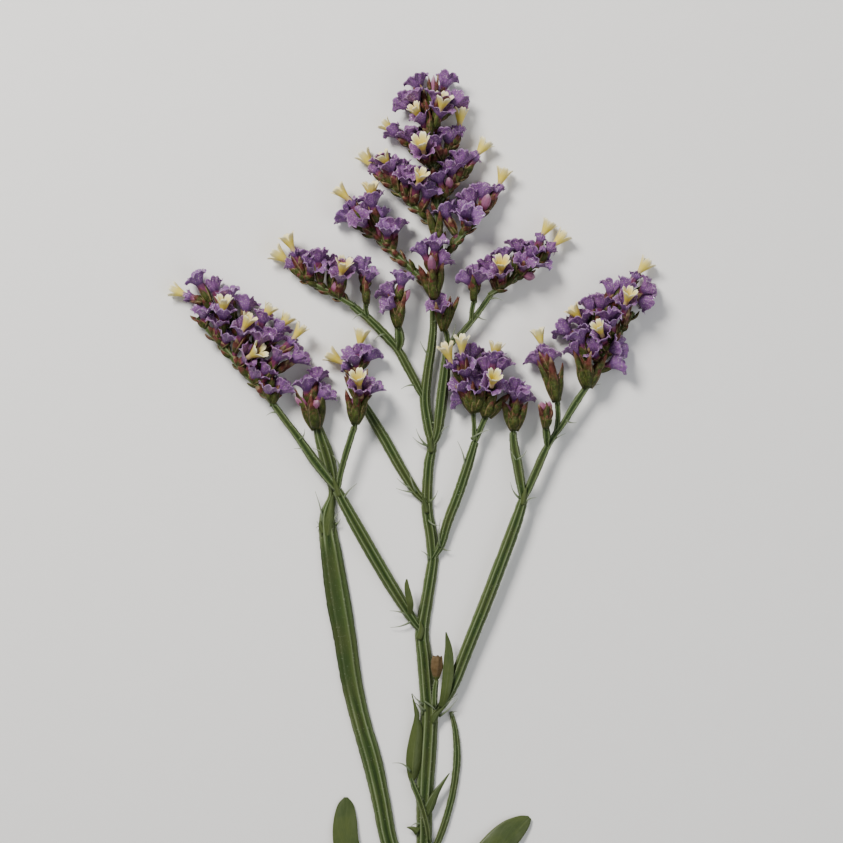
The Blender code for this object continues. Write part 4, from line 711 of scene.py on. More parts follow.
def flowers_of(spike, draw, count):
    """Every flower of a spike, where the solids have it, raised until it clears the table."""
    curve = rachis_curve(spike)
    found = []
    for mouths, first, last, kinds in spike["rows"]:
        line = [Vector(point) for point in mouths]
        for number, kind in enumerate(kinds):
            share = number / max(len(kinds) - 1, 1)
            root = point_along(curve, first + (last - first) * share)
            scatter = Vector([draw.uniform(-1, 1) for axis in range(3)]) * MOUTH_SCATTER
            way = point_along(line, share) + scatter - root
            size = 1 + draw.uniform(-1, 1) * SIZE_SCATTER
            roll = draw.uniform(0, math.tau)
            reach = way.length
            way.normalize()
            lean = math.sqrt(max(0.0, 1 - way.z ** 2))
            low = root.z + way.z * reach - CALYX_MOUTH_RADIUS * size * lean
            found.append(Flower(kind, root, way, reach, roll, size, max(0.0, -low), count + len(found)))
    return found


def all_flowers():
    """The flowers of each spike node by name, in the order in which the solids were made."""
    draw = random.Random(SEED)
    found = {}
    count = 0
    for name, spikes in SPIKES.items():
        found[name] = []
        for spike in spikes:
            found[name] += flowers_of(spike, draw, count)
            count += len(found[name])
    return found


def matrix_along(foot, way, roll):
    turn = way.to_track_quat("Z", "Y").to_matrix().to_4x4()
    return Matrix.Translation(foot) @ turn @ Matrix.Rotation(roll, 4, "Z")


def flower_foot(flower):
    return flower.root + Vector((0, 0, flower.lift))


def flower_draw(flower, part):
    """The random draws of one part of a flower, the same in every run."""
    return random.Random(SEED + 1000 * flower.number + part)


def lobe_edge(column, columns, lobes):
    """How near a column stands to the gap between two lobes: 0 at a lobe's middle, 1 in the gap."""
    return abs(2 * (column * lobes / columns % 1) - 1)


# Meshes. They are made in millimetres and turned into metres when a piece is finished.

def new_mesh():
    bm = bmesh.new()
    bm.verts.layers.float_color.new(GROWTH)
    bm.verts.layers.float_vector.new(FLOW)
    return bm


def add_sheet(bm, columns, rows, place, closed=False):
    """Adds a grid and moves each corner to where place(column, row) says, with its growth masks
    and its flow. A closed sheet's last column is welded to its first."""
    growth = bm.verts.layers.float_color[GROWTH]
    flow = bm.verts.layers.float_vector[FLOW]
    corners = bmesh.ops.create_grid(bm, x_segments=columns, y_segments=rows, size=0.5)["verts"]
    for corner in corners:
        column = round((corner.co.x + 0.5) * columns)
        row = round((corner.co.y + 0.5) * rows)
        corner.co, masks, corner[flow] = place(column % columns if closed else column, row)
        corner[growth] = (*masks, 1.0)
    if closed:
        bmesh.ops.remove_doubles(bm, verts=corners, dist=WELD / MM)


def add_funnel(bm, matrix, columns, rows, shape):
    """Adds a round sheet along a flower. shape(column, row, turn, edge) says the radius and the
    height there, the growth masks, and how far along the flow has come."""
    def place(column, row):
        turn = column * math.tau / columns
        radius, height, masks, flow = shape(column, row, turn, lobe_edge(column, columns, LOBES))
        spot = matrix @ Vector((math.sin(turn) * radius, math.cos(turn) * radius, height))
        return spot, masks, (math.cos(turn), math.sin(turn), flow)

    add_sheet(bm, columns, rows, place, closed=True)


def close_ends(bm):
    """Fills the open ends of the tubes in a mesh."""
    edges = [edge for edge in bm.edges if edge.is_boundary]
    bmesh.ops.holes_fill(bm, edges=edges, sides=0)


def finish_piece(context, bm, name, material, node, wall=0.0, lowest=TABLE_CLEARANCE):
    """Makes a mesh in millimetres a piece that stands for a node and rides on the one body."""
    for vert in bm.verts:
        vert.co.z = max(vert.co.z, lowest)
    bmesh.ops.scale(bm, vec=Vector((MM, MM, MM)), verts=bm.verts)
    bmesh.ops.recalc_face_normals(bm, faces=bm.faces)
    mesh = bpy.data.meshes.new(name)
    bm.to_mesh(mesh)
    bm.free()
    mesh.shade_smooth()
    mesh.materials.append(material)
    piece = bpy.data.objects.new(name, mesh)
    context.scene.collection.objects.link(piece)
    if wall:
        solidify = piece.modifiers.new("wall", "SOLIDIFY")
        solidify.thickness = wall
        solidify.offset = 0.0
    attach(piece, BODY)
    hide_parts(node)
    return piece


# Stems

def section_points(section, steps):
    """Points round a section as (place, ridge), drawn in between its corners so that the ribs
    and wings stand out, where ridge is 1 on them and 0 between."""
    corners = []
    for angle, share in section:
        turn = math.radians(angle)
        corners.append((Vector((math.cos(turn), math.sin(turn))) * share, 1.0 if share >= 1 else 0.0))
    found = []
    for (start, first), (end, last) in zip(corners, corners[1:] + corners[:1]):
        gap = (end - start).length
        for step in range(steps):
            t = step / steps
            ridge = max(first * (1 - t) ** 2, last * t ** 2)
            found.append((start.lerp(end, t) * (1 - SECTION_HOLLOW * gap * math.sin(math.pi * t)), ridge))
    return found


def add_swept_stem(bm, section, frames, steps, grain):
    """A winged stem: its section carried along its frames, with finely toothed wings."""
    ring = section_points(section, steps)

    def place(column, row):
        point, ridge = ring[column]
        width = frames[row].col[0].to_3d().length
        jag = noise.noise(Vector((row * 0.83 + grain, column * 0.37, grain)))
        tooth = 1 + TOOTH_HEIGHT / width * ridge * jag
        spot = frames[row] @ Vector((point.x * tooth, point.y * tooth, 0))
        # side is 1 at a stem's left edge and 0 at its right; the stem material paints shade on the left half
        # of a broad stem with it.
        side = 0.5 - 0.5 * point.x
        return spot, (ridge, side, min(1.0, width / BROAD_HALF_WIDTH)), (point.x, point.y, row / FLOW_ROWS)

    add_sheet(bm, len(ring), len(frames) - 1, place, closed=True)


def add_filament(bm, root, end, bow, thick):
    """A curved point that thins out from its root, as a node's wings end in."""
    along = end - root
    side = flat_side(along) * bow

    def place(column, row):
        t = row / FILAMENT_ROWS
        arc = math.sin(math.pi * t)
        middle = root + along * t + side * arc + Vector((0, 0, 0.5 * arc))
        radius = thick * (1 - t) ** 1.5 + 0.07
        turn = column * math.tau / FILAMENT_SIDES
        frame_here = frame_at(middle, along, radius * 1.3, radius * 0.8)
        spot = frame_here @ Vector((math.cos(turn), math.sin(turn), 0))
        return spot, (t, 0.5, 0.0), (math.cos(turn), math.sin(turn), t)

    add_sheet(bm, FILAMENT_SIDES, FILAMENT_ROWS, place, closed=True)


def add_hair(bm, foot, way, length, radius):
    bmesh.ops.create_cone(bm, segments=3, radius1=radius, radius2=radius * 0.3, depth=length,
                          matrix=matrix_along(foot + way * length / 2, way, 0))


def add_wing_hairs(bm, corners, frames, draw, spacing, longest):
    """Short hairs that stand out from the corners, (angle, share) pairs, of a stem or an axis."""
    for start, after in zip(frames, frames[1:]):
        step = (after.translation - start.translation).length
        for angle, share in corners:
            if draw.random() < step / spacing:
                turn = math.radians(angle)
                corner = Vector((math.cos(turn), math.sin(turn), 0)) * share
                foot = start.lerp(after, draw.random()) @ (corner * 0.96)
                out = (start.to_3x3() @ corner).normalized()
                jitter = Vector([draw.uniform(-0.6, 0.6) for axis in range(3)])
                way = (out + jitter + start.col[2].to_3d() * 0.3).normalized()
                if foot.z > LOWEST_HAIR:
                    add_hair(bm, foot, way, longest * draw.uniform(0.3, 1.0), draw.uniform(*HAIR_RADII))


class STATICE_OT_add_stems(bpy.types.Operator):
    """Adds the winged stems and branches"""

    bl_idname = "statice.add_stems"
    bl_label = "Add stems"

    def execute(self, context):
        settings = context.scene.statice_stems
        material = stem_material(settings)
        for number, (name, stem) in enumerate(STEMS.items()):
            bm = new_mesh()
            spacing = settings.ring_spacing / MM
            frames = stem_frames(stem["route"], spacing)
            add_swept_stem(bm, WINGED_SECTION, frames, settings.section_steps, number * 7.3)
            for twig in stem.get("twigs", ()):
                frames = stem_frames(twig, spacing)
                add_swept_stem(bm, TWIG_SECTION, frames, settings.section_steps + 1, number * 3.1)
            close_ends(bm)
            finish_piece(context, bm, name + "_winged", material, name, lowest=0.0)
        return {"FINISHED"}


class STATICE_OT_add_node_points(bpy.types.Operator):
    """Adds the fine points at the nodes and the hairs along the wings"""

    bl_idname = "statice.add_node_points"
    bl_label = "Add node points and hairs"

    def execute(self, context):
        settings = context.scene.statice_stems
        material = hair_material(settings)
        spacing, longest = settings.hair_spacing / MM, settings.hair_length / MM
        draw = random.Random(SEED)
        for name, stem in STEMS.items():
            bm = new_mesh()
            for root, end in stem["tips"]:
                bow = draw.uniform(0.3, 0.9) * draw.choice((-1, 1))
                add_filament(bm, Vector(root), Vector(end), bow, NODE_TIP_RADIUS)
            for root, end, bow in NODE_HAIRS.get(name, ()):
                add_filament(bm, Vector(root), Vector(end), bow, NODE_HAIR_RADIUS)
            close_ends(bm)
            routes = [(TWIG_SECTION, twig) for twig in stem.get("twigs", ())]
            for section, route in [(WINGED_SECTION, stem["route"]), *routes]:
                corners = [corner for corner in section if corner[1] >= 1]
                frames = stem_frames(route, settings.ring_spacing / MM)
                add_wing_hairs(bm, corners, frames, draw, spacing, longest)
            finish_piece(context, bm, name + "_points", material, name, lowest=0.05)
        for name, spikes in SPIKES.items():
            bm = new_mesh()
            for spike in spikes:
                add_wing_hairs(bm, RACHIS_HAIR_CORNERS, rachis_frames(spike), draw, 0.5 * spacing,
                               1.3 * longest)
            finish_piece(context, bm, name + "_axis_hairs", material, name)
        return {"FINISHED"}


# Leaves

def outline_at(outline, share):
    for before, after in zip(outline, outline[1:]):
        if share <= after[0]:
            t = (share - before[0]) / (after[0] - before[0])
            return [before[side] + (after[side] - before[side]) * t for side in (1, 2)]
    return list(outline[-1][1:])


def add_leaf_blade(bm, leaf, columns, rows, grain, arch, rib_depth):
    """A blade along its midrib, arched across it, with a sunk midrib and a waved margin."""
    midrib = smooth_curve([Vector(point) for point in leaf["midrib"]], 1.0)
    outline = smooth_curve([Vector(station) for station in leaf["outline"]], 0.25)

    def place(column, row):
        across, share = 2 * column / columns - 1, math.sin(math.pi / 2 * row / rows)
        spot = point_along(midrib, share)
        ahead = point_along(midrib, min(share + 0.02, 1)) - point_along(midrib, max(share - 0.02, 0))
        left, right = outline_at(outline, share)
        width = left if across < 0 else right
        side = flat_side(ahead)
        wave = LEAF_WAVE * width * across ** 4 * noise.noise(Vector((share * 7, across * 2, grain)))
        rib = rib_depth * min(1.0, width / 3) * math.exp(-(across / LEAF_RIB_WIDTH) ** 2)
        height = -arch * width * across ** 2 + wave - rib
        return (spot + side * across * width + Vector((0, 0, height)), (across / 2 + 0.5, share, grain % 1),
                (share * 12, across * 2, grain))

    add_sheet(bm, columns, rows, place)


class STATICE_OT_add_leaves(bpy.types.Operator):
    """Adds the leaves, the leafy stem wing, and the small blades at the nodes"""

    bl_idname = "statice.add_leaves"
    bl_label = "Add leaves"

    def execute(self, context):
        settings = context.scene.statice_leaves
        columns, rows, wall = settings.columns, settings.rows, settings.wall
        material = leaf_material(settings)
        for number, (name, leaf) in enumerate(LEAVES.items()):
            bm = new_mesh()
            add_leaf_blade(bm, leaf, columns, rows, 1.37 * number, leaf.get("arch", LEAF_ARCH),
                           leaf.get("rib_depth", LEAF_RIB_DEPTH))
            finish_piece(context, bm, name + "_blade", material, name, wall=wall, lowest=wall / MM)
        for name, blades in NODE_BLADES.items():
            bm = new_mesh()
            for number, blade in enumerate(blades):
                add_leaf_blade(bm, blade, columns // 2, rows // 3, 0.6 + number, NODE_BLADE_ARCH, 0.0)
            finish_piece(context, bm, name + "_node_blades", material, name, wall=0.6 * wall)
        return {"FINISHED"}


# Flowers

def add_calyx(bm, flower, columns, limb_radius, pleat):
    """A papery funnel on its tube, pleated and crinkled, with five round lobes along its rim."""
    own = flower_draw(flower, CALYX_DRAW)
    phases = [own.uniform(0, math.tau) for phase in range(5)]
    fold, tint, grain = own.uniform(0.0, 0.5), own.random(), own.uniform(0, 50)
    long, wide = YOUNG_CALYX_SHARES if flower.kind == "f" else (1.0, 1.0)
    matrix = matrix_along(flower_foot(flower), flower.way, flower.roll)
    size = flower.size
    throat = flower.reach - CALYX_THROAT_DROP * size
    length = CALYX_THROAT_DROP * size * long
    mouth = limb_radius * size * wide
    aside = matrix.to_3x3().inverted() @ flat_side(flower.way)

    def tube(t, turn, edge):
        height = -ROOT_SINK + t * (throat + ROOT_SINK)
        radius = (0.6 + (CALYX_THROAT_RADIUS - 0.5) * t ** 0.6) * (1 + 0.09 * math.cos(5 * turn))
        return radius, height, ((1 + 0.8 * (1 - t)) / 2, 1 - edge, tint), grain

    def shape(column, row, turn, edge):
        if row <= TUBE_ROWS:
            return tube(row / TUBE_ROWS, turn, edge)
        s = (row - TUBE_ROWS) / LIMB_ROWS
        height = throat + s * length
        radius = CALYX_THROAT_RADIUS + 0.1 + (mouth - CALYX_THROAT_RADIUS) * (0.74 * s + 0.26 * s ** 3)
        ruffle = (0.8 * math.cos(10 * turn + 0.4 * phases[0]) + 0.4 * math.cos(15 * turn + phases[1])
                  + 0.8 * math.cos(5 * turn + phases[2]))
        radius += pleat * ruffle * s ** 1.6 * size
        radius *= 1 - fold * s ** 1.4 * max(0.0, math.cos(turn - phases[3])) ** 9
        scallop = lobe_edge(column, columns, 2 * LOBES)
        height -= s ** 4 * (CALYX_CLEFT * edge ** 4 + CALYX_SCALLOP * scallop ** 3) * size
        spoke = Vector((math.sin(turn), math.cos(turn), 0))
        height -= FAN_ROUNDING * (s * spoke.dot(aside)) ** 2 * size
        height += CALYX_TILT * s ** 2 * math.cos(turn - phases[4])
        spot = Vector((math.cos(turn), math.sin(turn), s * 1.2))
        radius += CALYX_WAVE * s * noise.noise(spot * 1.8 + Vector((grain, 0, 0)))
        radius += CALYX_CRINKLE * s * noise.noise(spot * 5.2 + Vector((0, grain, 0)))
        height += CALYX_RIPPLE * s ** 2 * noise.noise(spot * 3.4 + Vector((0, 0, grain)))
        return radius, height, ((1 - s) / 2, 1 - edge, tint), 0.4 * s + grain

    add_funnel(bm, matrix, columns, TUBE_ROWS + LIMB_ROWS, shape)


def add_corolla(bm, flower, stand):
    """A funnel with five round notched lobes that stands out of its calyx and leans over it."""
    own = flower_draw(flower, COROLLA_DRAW)
    tint, flare, skew = own.random(), own.uniform(0.86, 1.04), own.uniform(-0.3, 0.3)
    young = flower.kind == "f"
    lean = 0.9 if young else own.uniform(0.6, 1.0)
    x, y, z = flower.way
    way = Vector((x + skew * y, y - skew * x, z * lean))
    drop = COROLLA_DROP * flower.size
    foot = flower_foot(flower) + flower.way * (flower.reach - drop)
    length = drop + COROLLA_RISE * flower.size + stand * (1.4 if young else 1.0)
    reach = COROLLA_LOBE_RADIUS * flower.size * flare

    def shape(column, row, turn, edge):
        t = row / COROLLA_ROWS
        cleft, notch = 1 - math.sqrt(max(0.0, 1 - edge ** 2)), max(0.0, 1 - edge / NOTCH_WIDTH)
        along = t - t ** 4 * (COROLLA_CLEFT * cleft + COROLLA_NOTCH * notch)
        open_share = max(0.0, along - COROLLA_TUBE_SHARE) / (1 - COROLLA_TUBE_SHARE)
        radius = (COROLLA_FOOT_RADIUS + (reach - COROLLA_FOOT_RADIUS) * open_share ** 1.05
                  + 0.45 * open_share ** 5)
        radius *= 1 + 0.05 * noise.noise(Vector((math.cos(turn) * 2, math.sin(turn) * 2, flower.number)))
        return radius, length * along, (t, 1 - edge, tint), 0.5 * t

    add_funnel(bm, matrix_along(foot, way.normalized(), flower.roll), COROLLA_SIDES, COROLLA_ROWS, shape)


def add_bud(bm, flower):
    """A closed bud: a pleated point on a slim tube, or a wider cup with a ragged mouth."""
    own = flower_draw(flower, BUD_DRAW)
    cup = flower.kind == "B"
    tint = 1.0 if cup else 0.7 * own.random()
    belly = (BIG_BUD_BELLY_RADIUS if cup else BUD_BELLY_RADIUS) * flower.size

    def shape(column, row, turn, edge):
        t = row / BUD_ROWS
        height = -ROOT_SINK + t * (flower.reach + ROOT_SINK)
        swell = math.sin(math.pi * t ** 1.5) ** 0.8 if 0 < t < 1 else 0.0
        radius = 0.5 * (1 - t) + belly * swell + 0.05
        if cup:
            open_share = max(0.0, t - 0.08) / 0.92
            radius = 0.6 + (1.1 * belly - 0.6) * min(1.0, 1.9 * open_share) ** 0.6
            radius *= 1 - 0.22 * open_share ** 6
            height -= 1.2 * open_share ** 5 * edge ** 2
        radius *= 1 + 0.12 * min(1.0, 2 * t) * math.cos(5 * turn + 2 * t)
        return radius, height, (1 - t, 0.5 + 0.5 * math.cos(5 * turn), tint), 0.5 * t

    add_funnel(bm, matrix_along(flower_foot(flower), flower.way, flower.roll), BUD_SIDES, BUD_ROWS, shape)


def add_bract(bm, start, way, outward, length, width, seat, own, hug=0.0, reddest=1.0):
    """A pointed boat-shaped scale that stands along way and wraps round it from its outer side. Its
    tip bends in by hug, and its tint is at most reddest."""
    turn = Matrix((way.cross(outward), outward, way)).transposed().to_4x4()
    matrix = Matrix.Translation(start) @ turn
    tint, hook, skew = reddest * own.random(), own.uniform(-0.3, 0.7) - hug, own.uniform(-0.5, 0.5)
    bulge, wrap = own.uniform(0.7, 1.2), own.uniform(1.0, 1.35)

    def place(column, row):
        across, s = 2 * column / BRACT_COLUMNS - 1, row / BRACT_ROWS
        half = width * (0.55 + 0.45 * math.sin(math.pi * (0.1 + 0.7 * s))) * (1 - s ** 3) ** 0.9 + 0.04
        bend = across * wrap
        out = seat + bulge * math.sin(0.8 * math.pi * s) + hook * s ** 3
        out += 0.25 * (1 - abs(across)) ** 2 - half * (1 - math.cos(bend)) / math.sin(wrap)
        aside = half * math.sin(bend) / math.sin(wrap) + skew * s ** 2
        spot = matrix @ Vector((aside, out, s * length))
        return spot, (s, abs(across), tint), (across, 0.6 * s, 9 * tint)

    add_sheet(bm, BRACT_COLUMNS, BRACT_ROWS, place)


def bracts_of(bm, flower):
    """The scales round a flower's foot, the widest at the side where the solids have theirs."""
    if flower.kind == "B":
        return
    own = flower_draw(flower, BRACT_DRAW)
    start = flower_foot(flower) + flower.way * max(flower.reach - BRACT_DROP, 0.0)
    outward = flat_side(flower.way) * math.copysign(1, math.cos(flower.roll))
    short = 0.7 if flower.kind == "b" else 1.0
    longest = min(BRACT_LENGTH, flower.reach - BRACT_TIP_DROP) * short
    for angle, long, wide in BRACT_PLACES:
        turn = math.radians(angle + own.uniform(-22, 22))
        side = Matrix.Rotation(turn, 3, flower.way) @ outward
        width = BRACT_WIDTH * wide * short * own.uniform(0.85, 1.0)
        add_bract(bm, start, flower.way, side, longest * long * own.uniform(0.88, 1.0), width, 0.8, own)


def add_lone_bracts(bm, bracts, own):
    """A bract from each foot to its tip, with shorter redder ones that show past it."""
    for foot, tip, width in bracts:
        start, along = Vector(foot), Vector(tip) - Vector(foot)
        way = along.normalized()
        outward = (UP - way * UP.dot(way)).normalized()
        for lift, share, breadth, turned, reddest, seat in LONE_BRACT_LAYERS:
            side = Matrix.Rotation(own.uniform(-turned, turned), 3, way) @ outward
            length = along.length * share * own.uniform(0.85, 1.1)
            add_bract(bm, start + along * lift, way, side, length, width * breadth, seat, own,
                      hug=1.1, reddest=reddest)


def rachis_frames(spike):
    """Frames along a spike's axis, which starts inside its stem, slim at its root, thick among
    the flowers and slim at its tip."""
    ends = rachis_curve(spike)
    curve = smooth_curve([Vector(point) for point in spike["route"]], 2.0)
    curve.insert(0, curve[0] - (curve[1] - curve[0]).normalized() * RACHIS_SOCKET)
    belly = min(RACHIS_BELLY_RADIUS, RACHIS_ROOT_RADIUS + RACHIS_SWELL_SHARE * (ends[-1] - ends[0]).length)
    radii = []
    for number in range(len(curve)):
        share = number / (len(curve) - 1)
        end = RACHIS_TIP_RADIUS if share > 0.5 else RACHIS_ROOT_RADIUS
        radii.append(end + (belly - end) * math.sin(math.pi * share) ** 0.7)
    return frames_along(curve, radii, radii)


def add_rachis(bm, spike, grain):
    """The ribbed axis of a spike."""
    frames = rachis_frames(spike)

    def place(column, row):
        turn = column * math.tau / RACHIS_SIDES
        ridge = 1 + 0.10 * math.cos(5 * turn) + 0.06 * noise.noise(Vector((turn, row * 0.6, grain)))
        spot = frames[row] @ Vector((math.cos(turn) * ridge, math.sin(turn) * ridge, 0))
        masks = (0.5 + 0.5 * math.cos(5 * turn), 0.5, 0.0)
        return spot, masks, (math.cos(turn), math.sin(turn), row / FLOW_ROWS)

    add_sheet(bm, RACHIS_SIDES, len(frames) - 1, place, closed=True)


def add_rachis_scales(bm, spike, own):
    """Overlapping scales in a spiral along a spike's axis."""
    for number, here in enumerate(rachis_frames(spike)[2:-1]):
        along = here.col[2].to_3d().normalized()
        turn = number * SCALE_TURN + own.uniform(-0.3, 0.3)
        side = Matrix.Rotation(turn, 3, along) @ here.col[0].to_3d().normalized()
        seat = here.col[0].to_3d().length * 0.7
        way = (along + 0.16 * side).normalized()
        outward = (side - way * side.dot(way)).normalized()
        length, width = own.uniform(3.6, 5.6), own.uniform(1.1, 1.6)
        add_bract(bm, here.translation, way, outward, length, width, seat, own, hug=0.4)


def add_flower_pieces(context, kinds, add, suffix, material, wall=0.0, filled=False):
    """One piece for each spike that has flowers of these kinds, which add(bm, flower) draws."""
    for name, flowers in all_flowers().items():
        chosen = [flower for flower in flowers if flower.kind in kinds]
        if chosen:
            bm = new_mesh()
            for flower in chosen:
                add(bm, flower)
            if filled:
                close_ends(bm)
            finish_piece(context, bm, name + suffix, material, name, wall=wall)


class STATICE_OT_add_spike_axes(bpy.types.Operator):
    """Adds the axes of the flower spikes"""

    bl_idname = "statice.add_spike_axes"
    bl_label = "Add spike axes"

    def execute(self, context):
        material = stem_material(context.scene.statice_stems)
        for number, (name, spikes) in enumerate(SPIKES.items()):
            bm = new_mesh()
            for spike in spikes:
                add_rachis(bm, spike, number * 1.7)
            close_ends(bm)
            finish_piece(context, bm, name + "_axis", material, name)
        return {"FINISHED"}


class STATICE_OT_add_bracts(bpy.types.Operator):
    """Adds the pointed bracts round the flowers and along the axes"""

    bl_idname = "statice.add_bracts"
    bl_label = "Add bracts"

    def execute(self, context):
        settings = context.scene.statice_flowers
        material = bract_material(settings)
        own = random.Random(SEED)
        for name, flowers in all_flowers().items():
            if name == BARE_SPIKE:
                continue
            bm = new_mesh()
            for flower in flowers:
                bracts_of(bm, flower)
            for spike in SPIKES[name]:
                add_rachis_scales(bm, spike, own)
            add_lone_bracts(bm, LONE_BRACTS.get(name, ()), own)
            finish_piece(context, bm, name + "_bracts", material, name, wall=settings.bract_wall)
        return {"FINISHED"}


class STATICE_OT_add_calyces(bpy.types.Operator):
    """Adds the papery purple calyces"""

    bl_idname = "statice.add_calyces"
    bl_label = "Add calyces"

    def execute(self, context):
        settings = context.scene.statice_flowers

        def add(bm, flower):
            add_calyx(bm, flower, settings.calyx_columns, settings.limb_radius / MM, settings.pleat)

        add_flower_pieces(context, "cof", add, "_calyces", calyx_material(settings),
                          wall=settings.calyx_wall)
        return {"FINISHED"}


class STATICE_OT_add_corollas(bpy.types.Operator):
    """Adds the cream corollas of the open flowers"""

    bl_idname = "statice.add_corollas"
    bl_label = "Add corollas"

    def execute(self, context):
        settings = context.scene.statice_flowers

        def add(bm, flower):
            add_corolla(bm, flower, settings.corolla_stand / MM)

        add_flower_pieces(context, "of", add, "_corollas", corolla_material(settings),
                          wall=settings.petal_wall)
        return {"FINISHED"}


class STATICE_OT_add_buds(bpy.types.Operator):
    """Adds the closed buds"""

    bl_idname = "statice.add_buds"
    bl_label = "Add buds"

    def execute(self, context):
        material = bud_material(context.scene.statice_flowers)
        add_flower_pieces(context, "bB", add_bud, "_buds", material, filled=True)
        return {"FINISHED"}


# Materials. A field is a node's output that changes over a surface, and a plain number or colour
# may stand wherever a field may.

def add_node(tree, kind, **values):
    node = tree.nodes.new("ShaderNode" + kind)
    for name, value in values.items():
        setattr(node, name, value)
    return node


def feed(tree, socket, value):
    """Links an output to an input, or gives the input a plain value."""
    if isinstance(value, bpy.types.NodeSocket):
        tree.links.new(value, socket)
    elif socket.type == "RGBA":
        socket.default_value = (*value, 1)
    else:
        socket.default_value = value


def feed_all(tree, node, **values):
    """Feeds a node's inputs by name, with _ for a blank, and returns its outputs."""
    for name, value in values.items():
        feed(tree, node.inputs[name.replace("_", " ")], value)
    return node.outputs


def calculate(tree, operation, *values, clamp=False):
    node = add_node(tree, "Math", operation=operation, use_clamp=clamp)
    for socket, value in zip(node.inputs, values):
        feed(tree, socket, value)
    return node.outputs[0]


def times(tree, first, second):
    return calculate(tree, "MULTIPLY", first, second)


def minus(tree, first, second, clamp=False):
    return calculate(tree, "SUBTRACT", first, second, clamp=clamp)


def greatest(tree, first, second, clamp=False):
    return calculate(tree, "MAXIMUM", first, second, clamp=clamp)


def swayed(tree, base, field, centre, amount):
    """A base that is moved by amount times how far a field is off its centre."""
    return calculate(tree, "MULTIPLY_ADD", minus(tree, field, centre), amount, base)


def tinted(tree, colour, other, share=1.0, most=1.0, blend="MIX"):
    """A colour blended towards another by a share of at most most."""
    node = add_node(tree, "Mix", data_type="RGBA", blend_type=blend)
    factor = share if most == 1.0 else times(tree, share, most)
    for number, value in zip(MIX_INPUTS, (factor, colour, other)):
        feed(tree, node.inputs[number], value)
    return node.outputs[MIX_OUTPUT]


def layered(tree, colour, *layers):
    """A colour under layers of others, each given as (colour, share) or (colour, share, most)."""
    for layer in layers:
        colour = tinted(tree, colour, *layer)
    return colour


def mask(tree, value, low, high):
    """0 where value is at low, 1 where it is at high, and even between."""
    node = add_node(tree, "MapRange", interpolation_type="SMOOTHSTEP")
    return feed_all(tree, node, Value=value, From_Min=low, From_Max=high)["Result"]


def without(tree, value, low, high):
    """1 where value is at low, and 0 where it is at high."""
    return minus(tree, 1.0, mask(tree, value, low, high))


def ramp(tree, share, stops):
    node = add_node(tree, "ValToRGB")
    feed(tree, node.inputs["Fac"], share)
    elements = node.color_ramp.elements
    while len(elements) < len(stops):
        elements.new(1.0)
    for element, (place, colour) in zip(elements, stops):
        element.position = place
        element.color = (*colour, 1)
    return node.outputs["Color"]


def attribute(tree, name):
    return add_node(tree, "Attribute", attribute_type="GEOMETRY", attribute_name=name).outputs


def growth_masks(tree):
    """The three masks of a piece's growth attribute."""
    return list(feed_all(tree, add_node(tree, "SeparateColor"), Color=attribute(tree, GROWTH)["Color"]))


def object_place(tree):
    return add_node(tree, "TexCoord").outputs["Object"]


def noise_field(tree, place, scale, detail=4.0, roughness=0.6):
    return feed_all(tree, add_node(tree, "TexNoise"), Vector=place, Scale=scale, Detail=detail,
                    Roughness=roughness)["Fac"]


def new_group(name, inputs, outputs):
    """A shader node group whose inputs are its surface's place and flow and the named numbers."""
    group = bpy.data.node_groups.new(name, "ShaderNodeTree")
    for label in ("Place", "Flow"):
        group.interface.new_socket(name=label, in_out="INPUT", socket_type="NodeSocketVector")
    for label, default in inputs.items():
        socket = group.interface.new_socket(name=label, in_out="INPUT", socket_type="NodeSocketFloat")
        socket.default_value = default
    for label in outputs:
        group.interface.new_socket(name=label, in_out="OUTPUT", socket_type="NodeSocketFloat")
    return group, group.nodes.new("NodeGroupInput").outputs, group.nodes.new("NodeGroupOutput")


def papery_group(name):
    """Crinkles, a net of fine veins, long streaks and glints of painted highlight, as on papery calyces and
    bracts.
    """
    group, given, result = new_group(name, {"Streaks": 7.0, "Scale": 1.0},
                                     ("Crinkle", "Net", "Streak", "Glint"))
    place, scale = given["Place"], given["Scale"]
    cells = feed_all(group, add_node(group, "TexVoronoi", feature="DISTANCE_TO_EDGE"),
                     Vector=place, Scale=times(group, scale, NET_SCALE))
    sparkle = noise_field(group, place, times(group, scale, GLINT_SCALE), 1.0)
    feed_all(group, result,
             Crinkle=noise_field(group, place, times(group, scale, CRINKLE_SCALE), 6.0, 0.7),
             Net=without(group, cells["Distance"], 0.02, 0.14),
             Streak=noise_field(group, given["Flow"], given["Streaks"], 3.0, 0.7),
             Glint=mask(group, sparkle, 0.58, 0.70))
    return group


def fibre_group(name):
    """Long streaks, small pale specks and soft patches, as on green stems and leaves."""
    group, given, result = new_group(name, {"Scale": 6.0}, ("Streak", "Speck", "Patch"))
    feed_all(group, result,
             Streak=noise_field(group, given["Flow"], given["Scale"], 4.0),
             Speck=mask(group, noise_field(group, given["Place"], SPECK_SCALE, 2.0), 0.66, 0.74),
             Patch=mask(group, noise_field(group, given["Place"], PATCH_SCALE, 3.0), 0.42, 0.66))
    return group


GROUPS = {"papery_surface": papery_group, "green_fibre": fibre_group}


def use_group(tree, name, **inputs):
    """The outputs of a shared group, which is built when it is first asked for."""
    group = bpy.data.node_groups.get(name) or GROUPS[name](name)
    return feed_all(tree, add_node(tree, "Group", node_tree=group), Place=object_place(tree),
                    Flow=attribute(tree, FLOW)["Vector"], **inputs)


def new_material(name):
    material = bpy.data.materials.new(name)
    material.use_nodes = True
    return material, material.node_tree


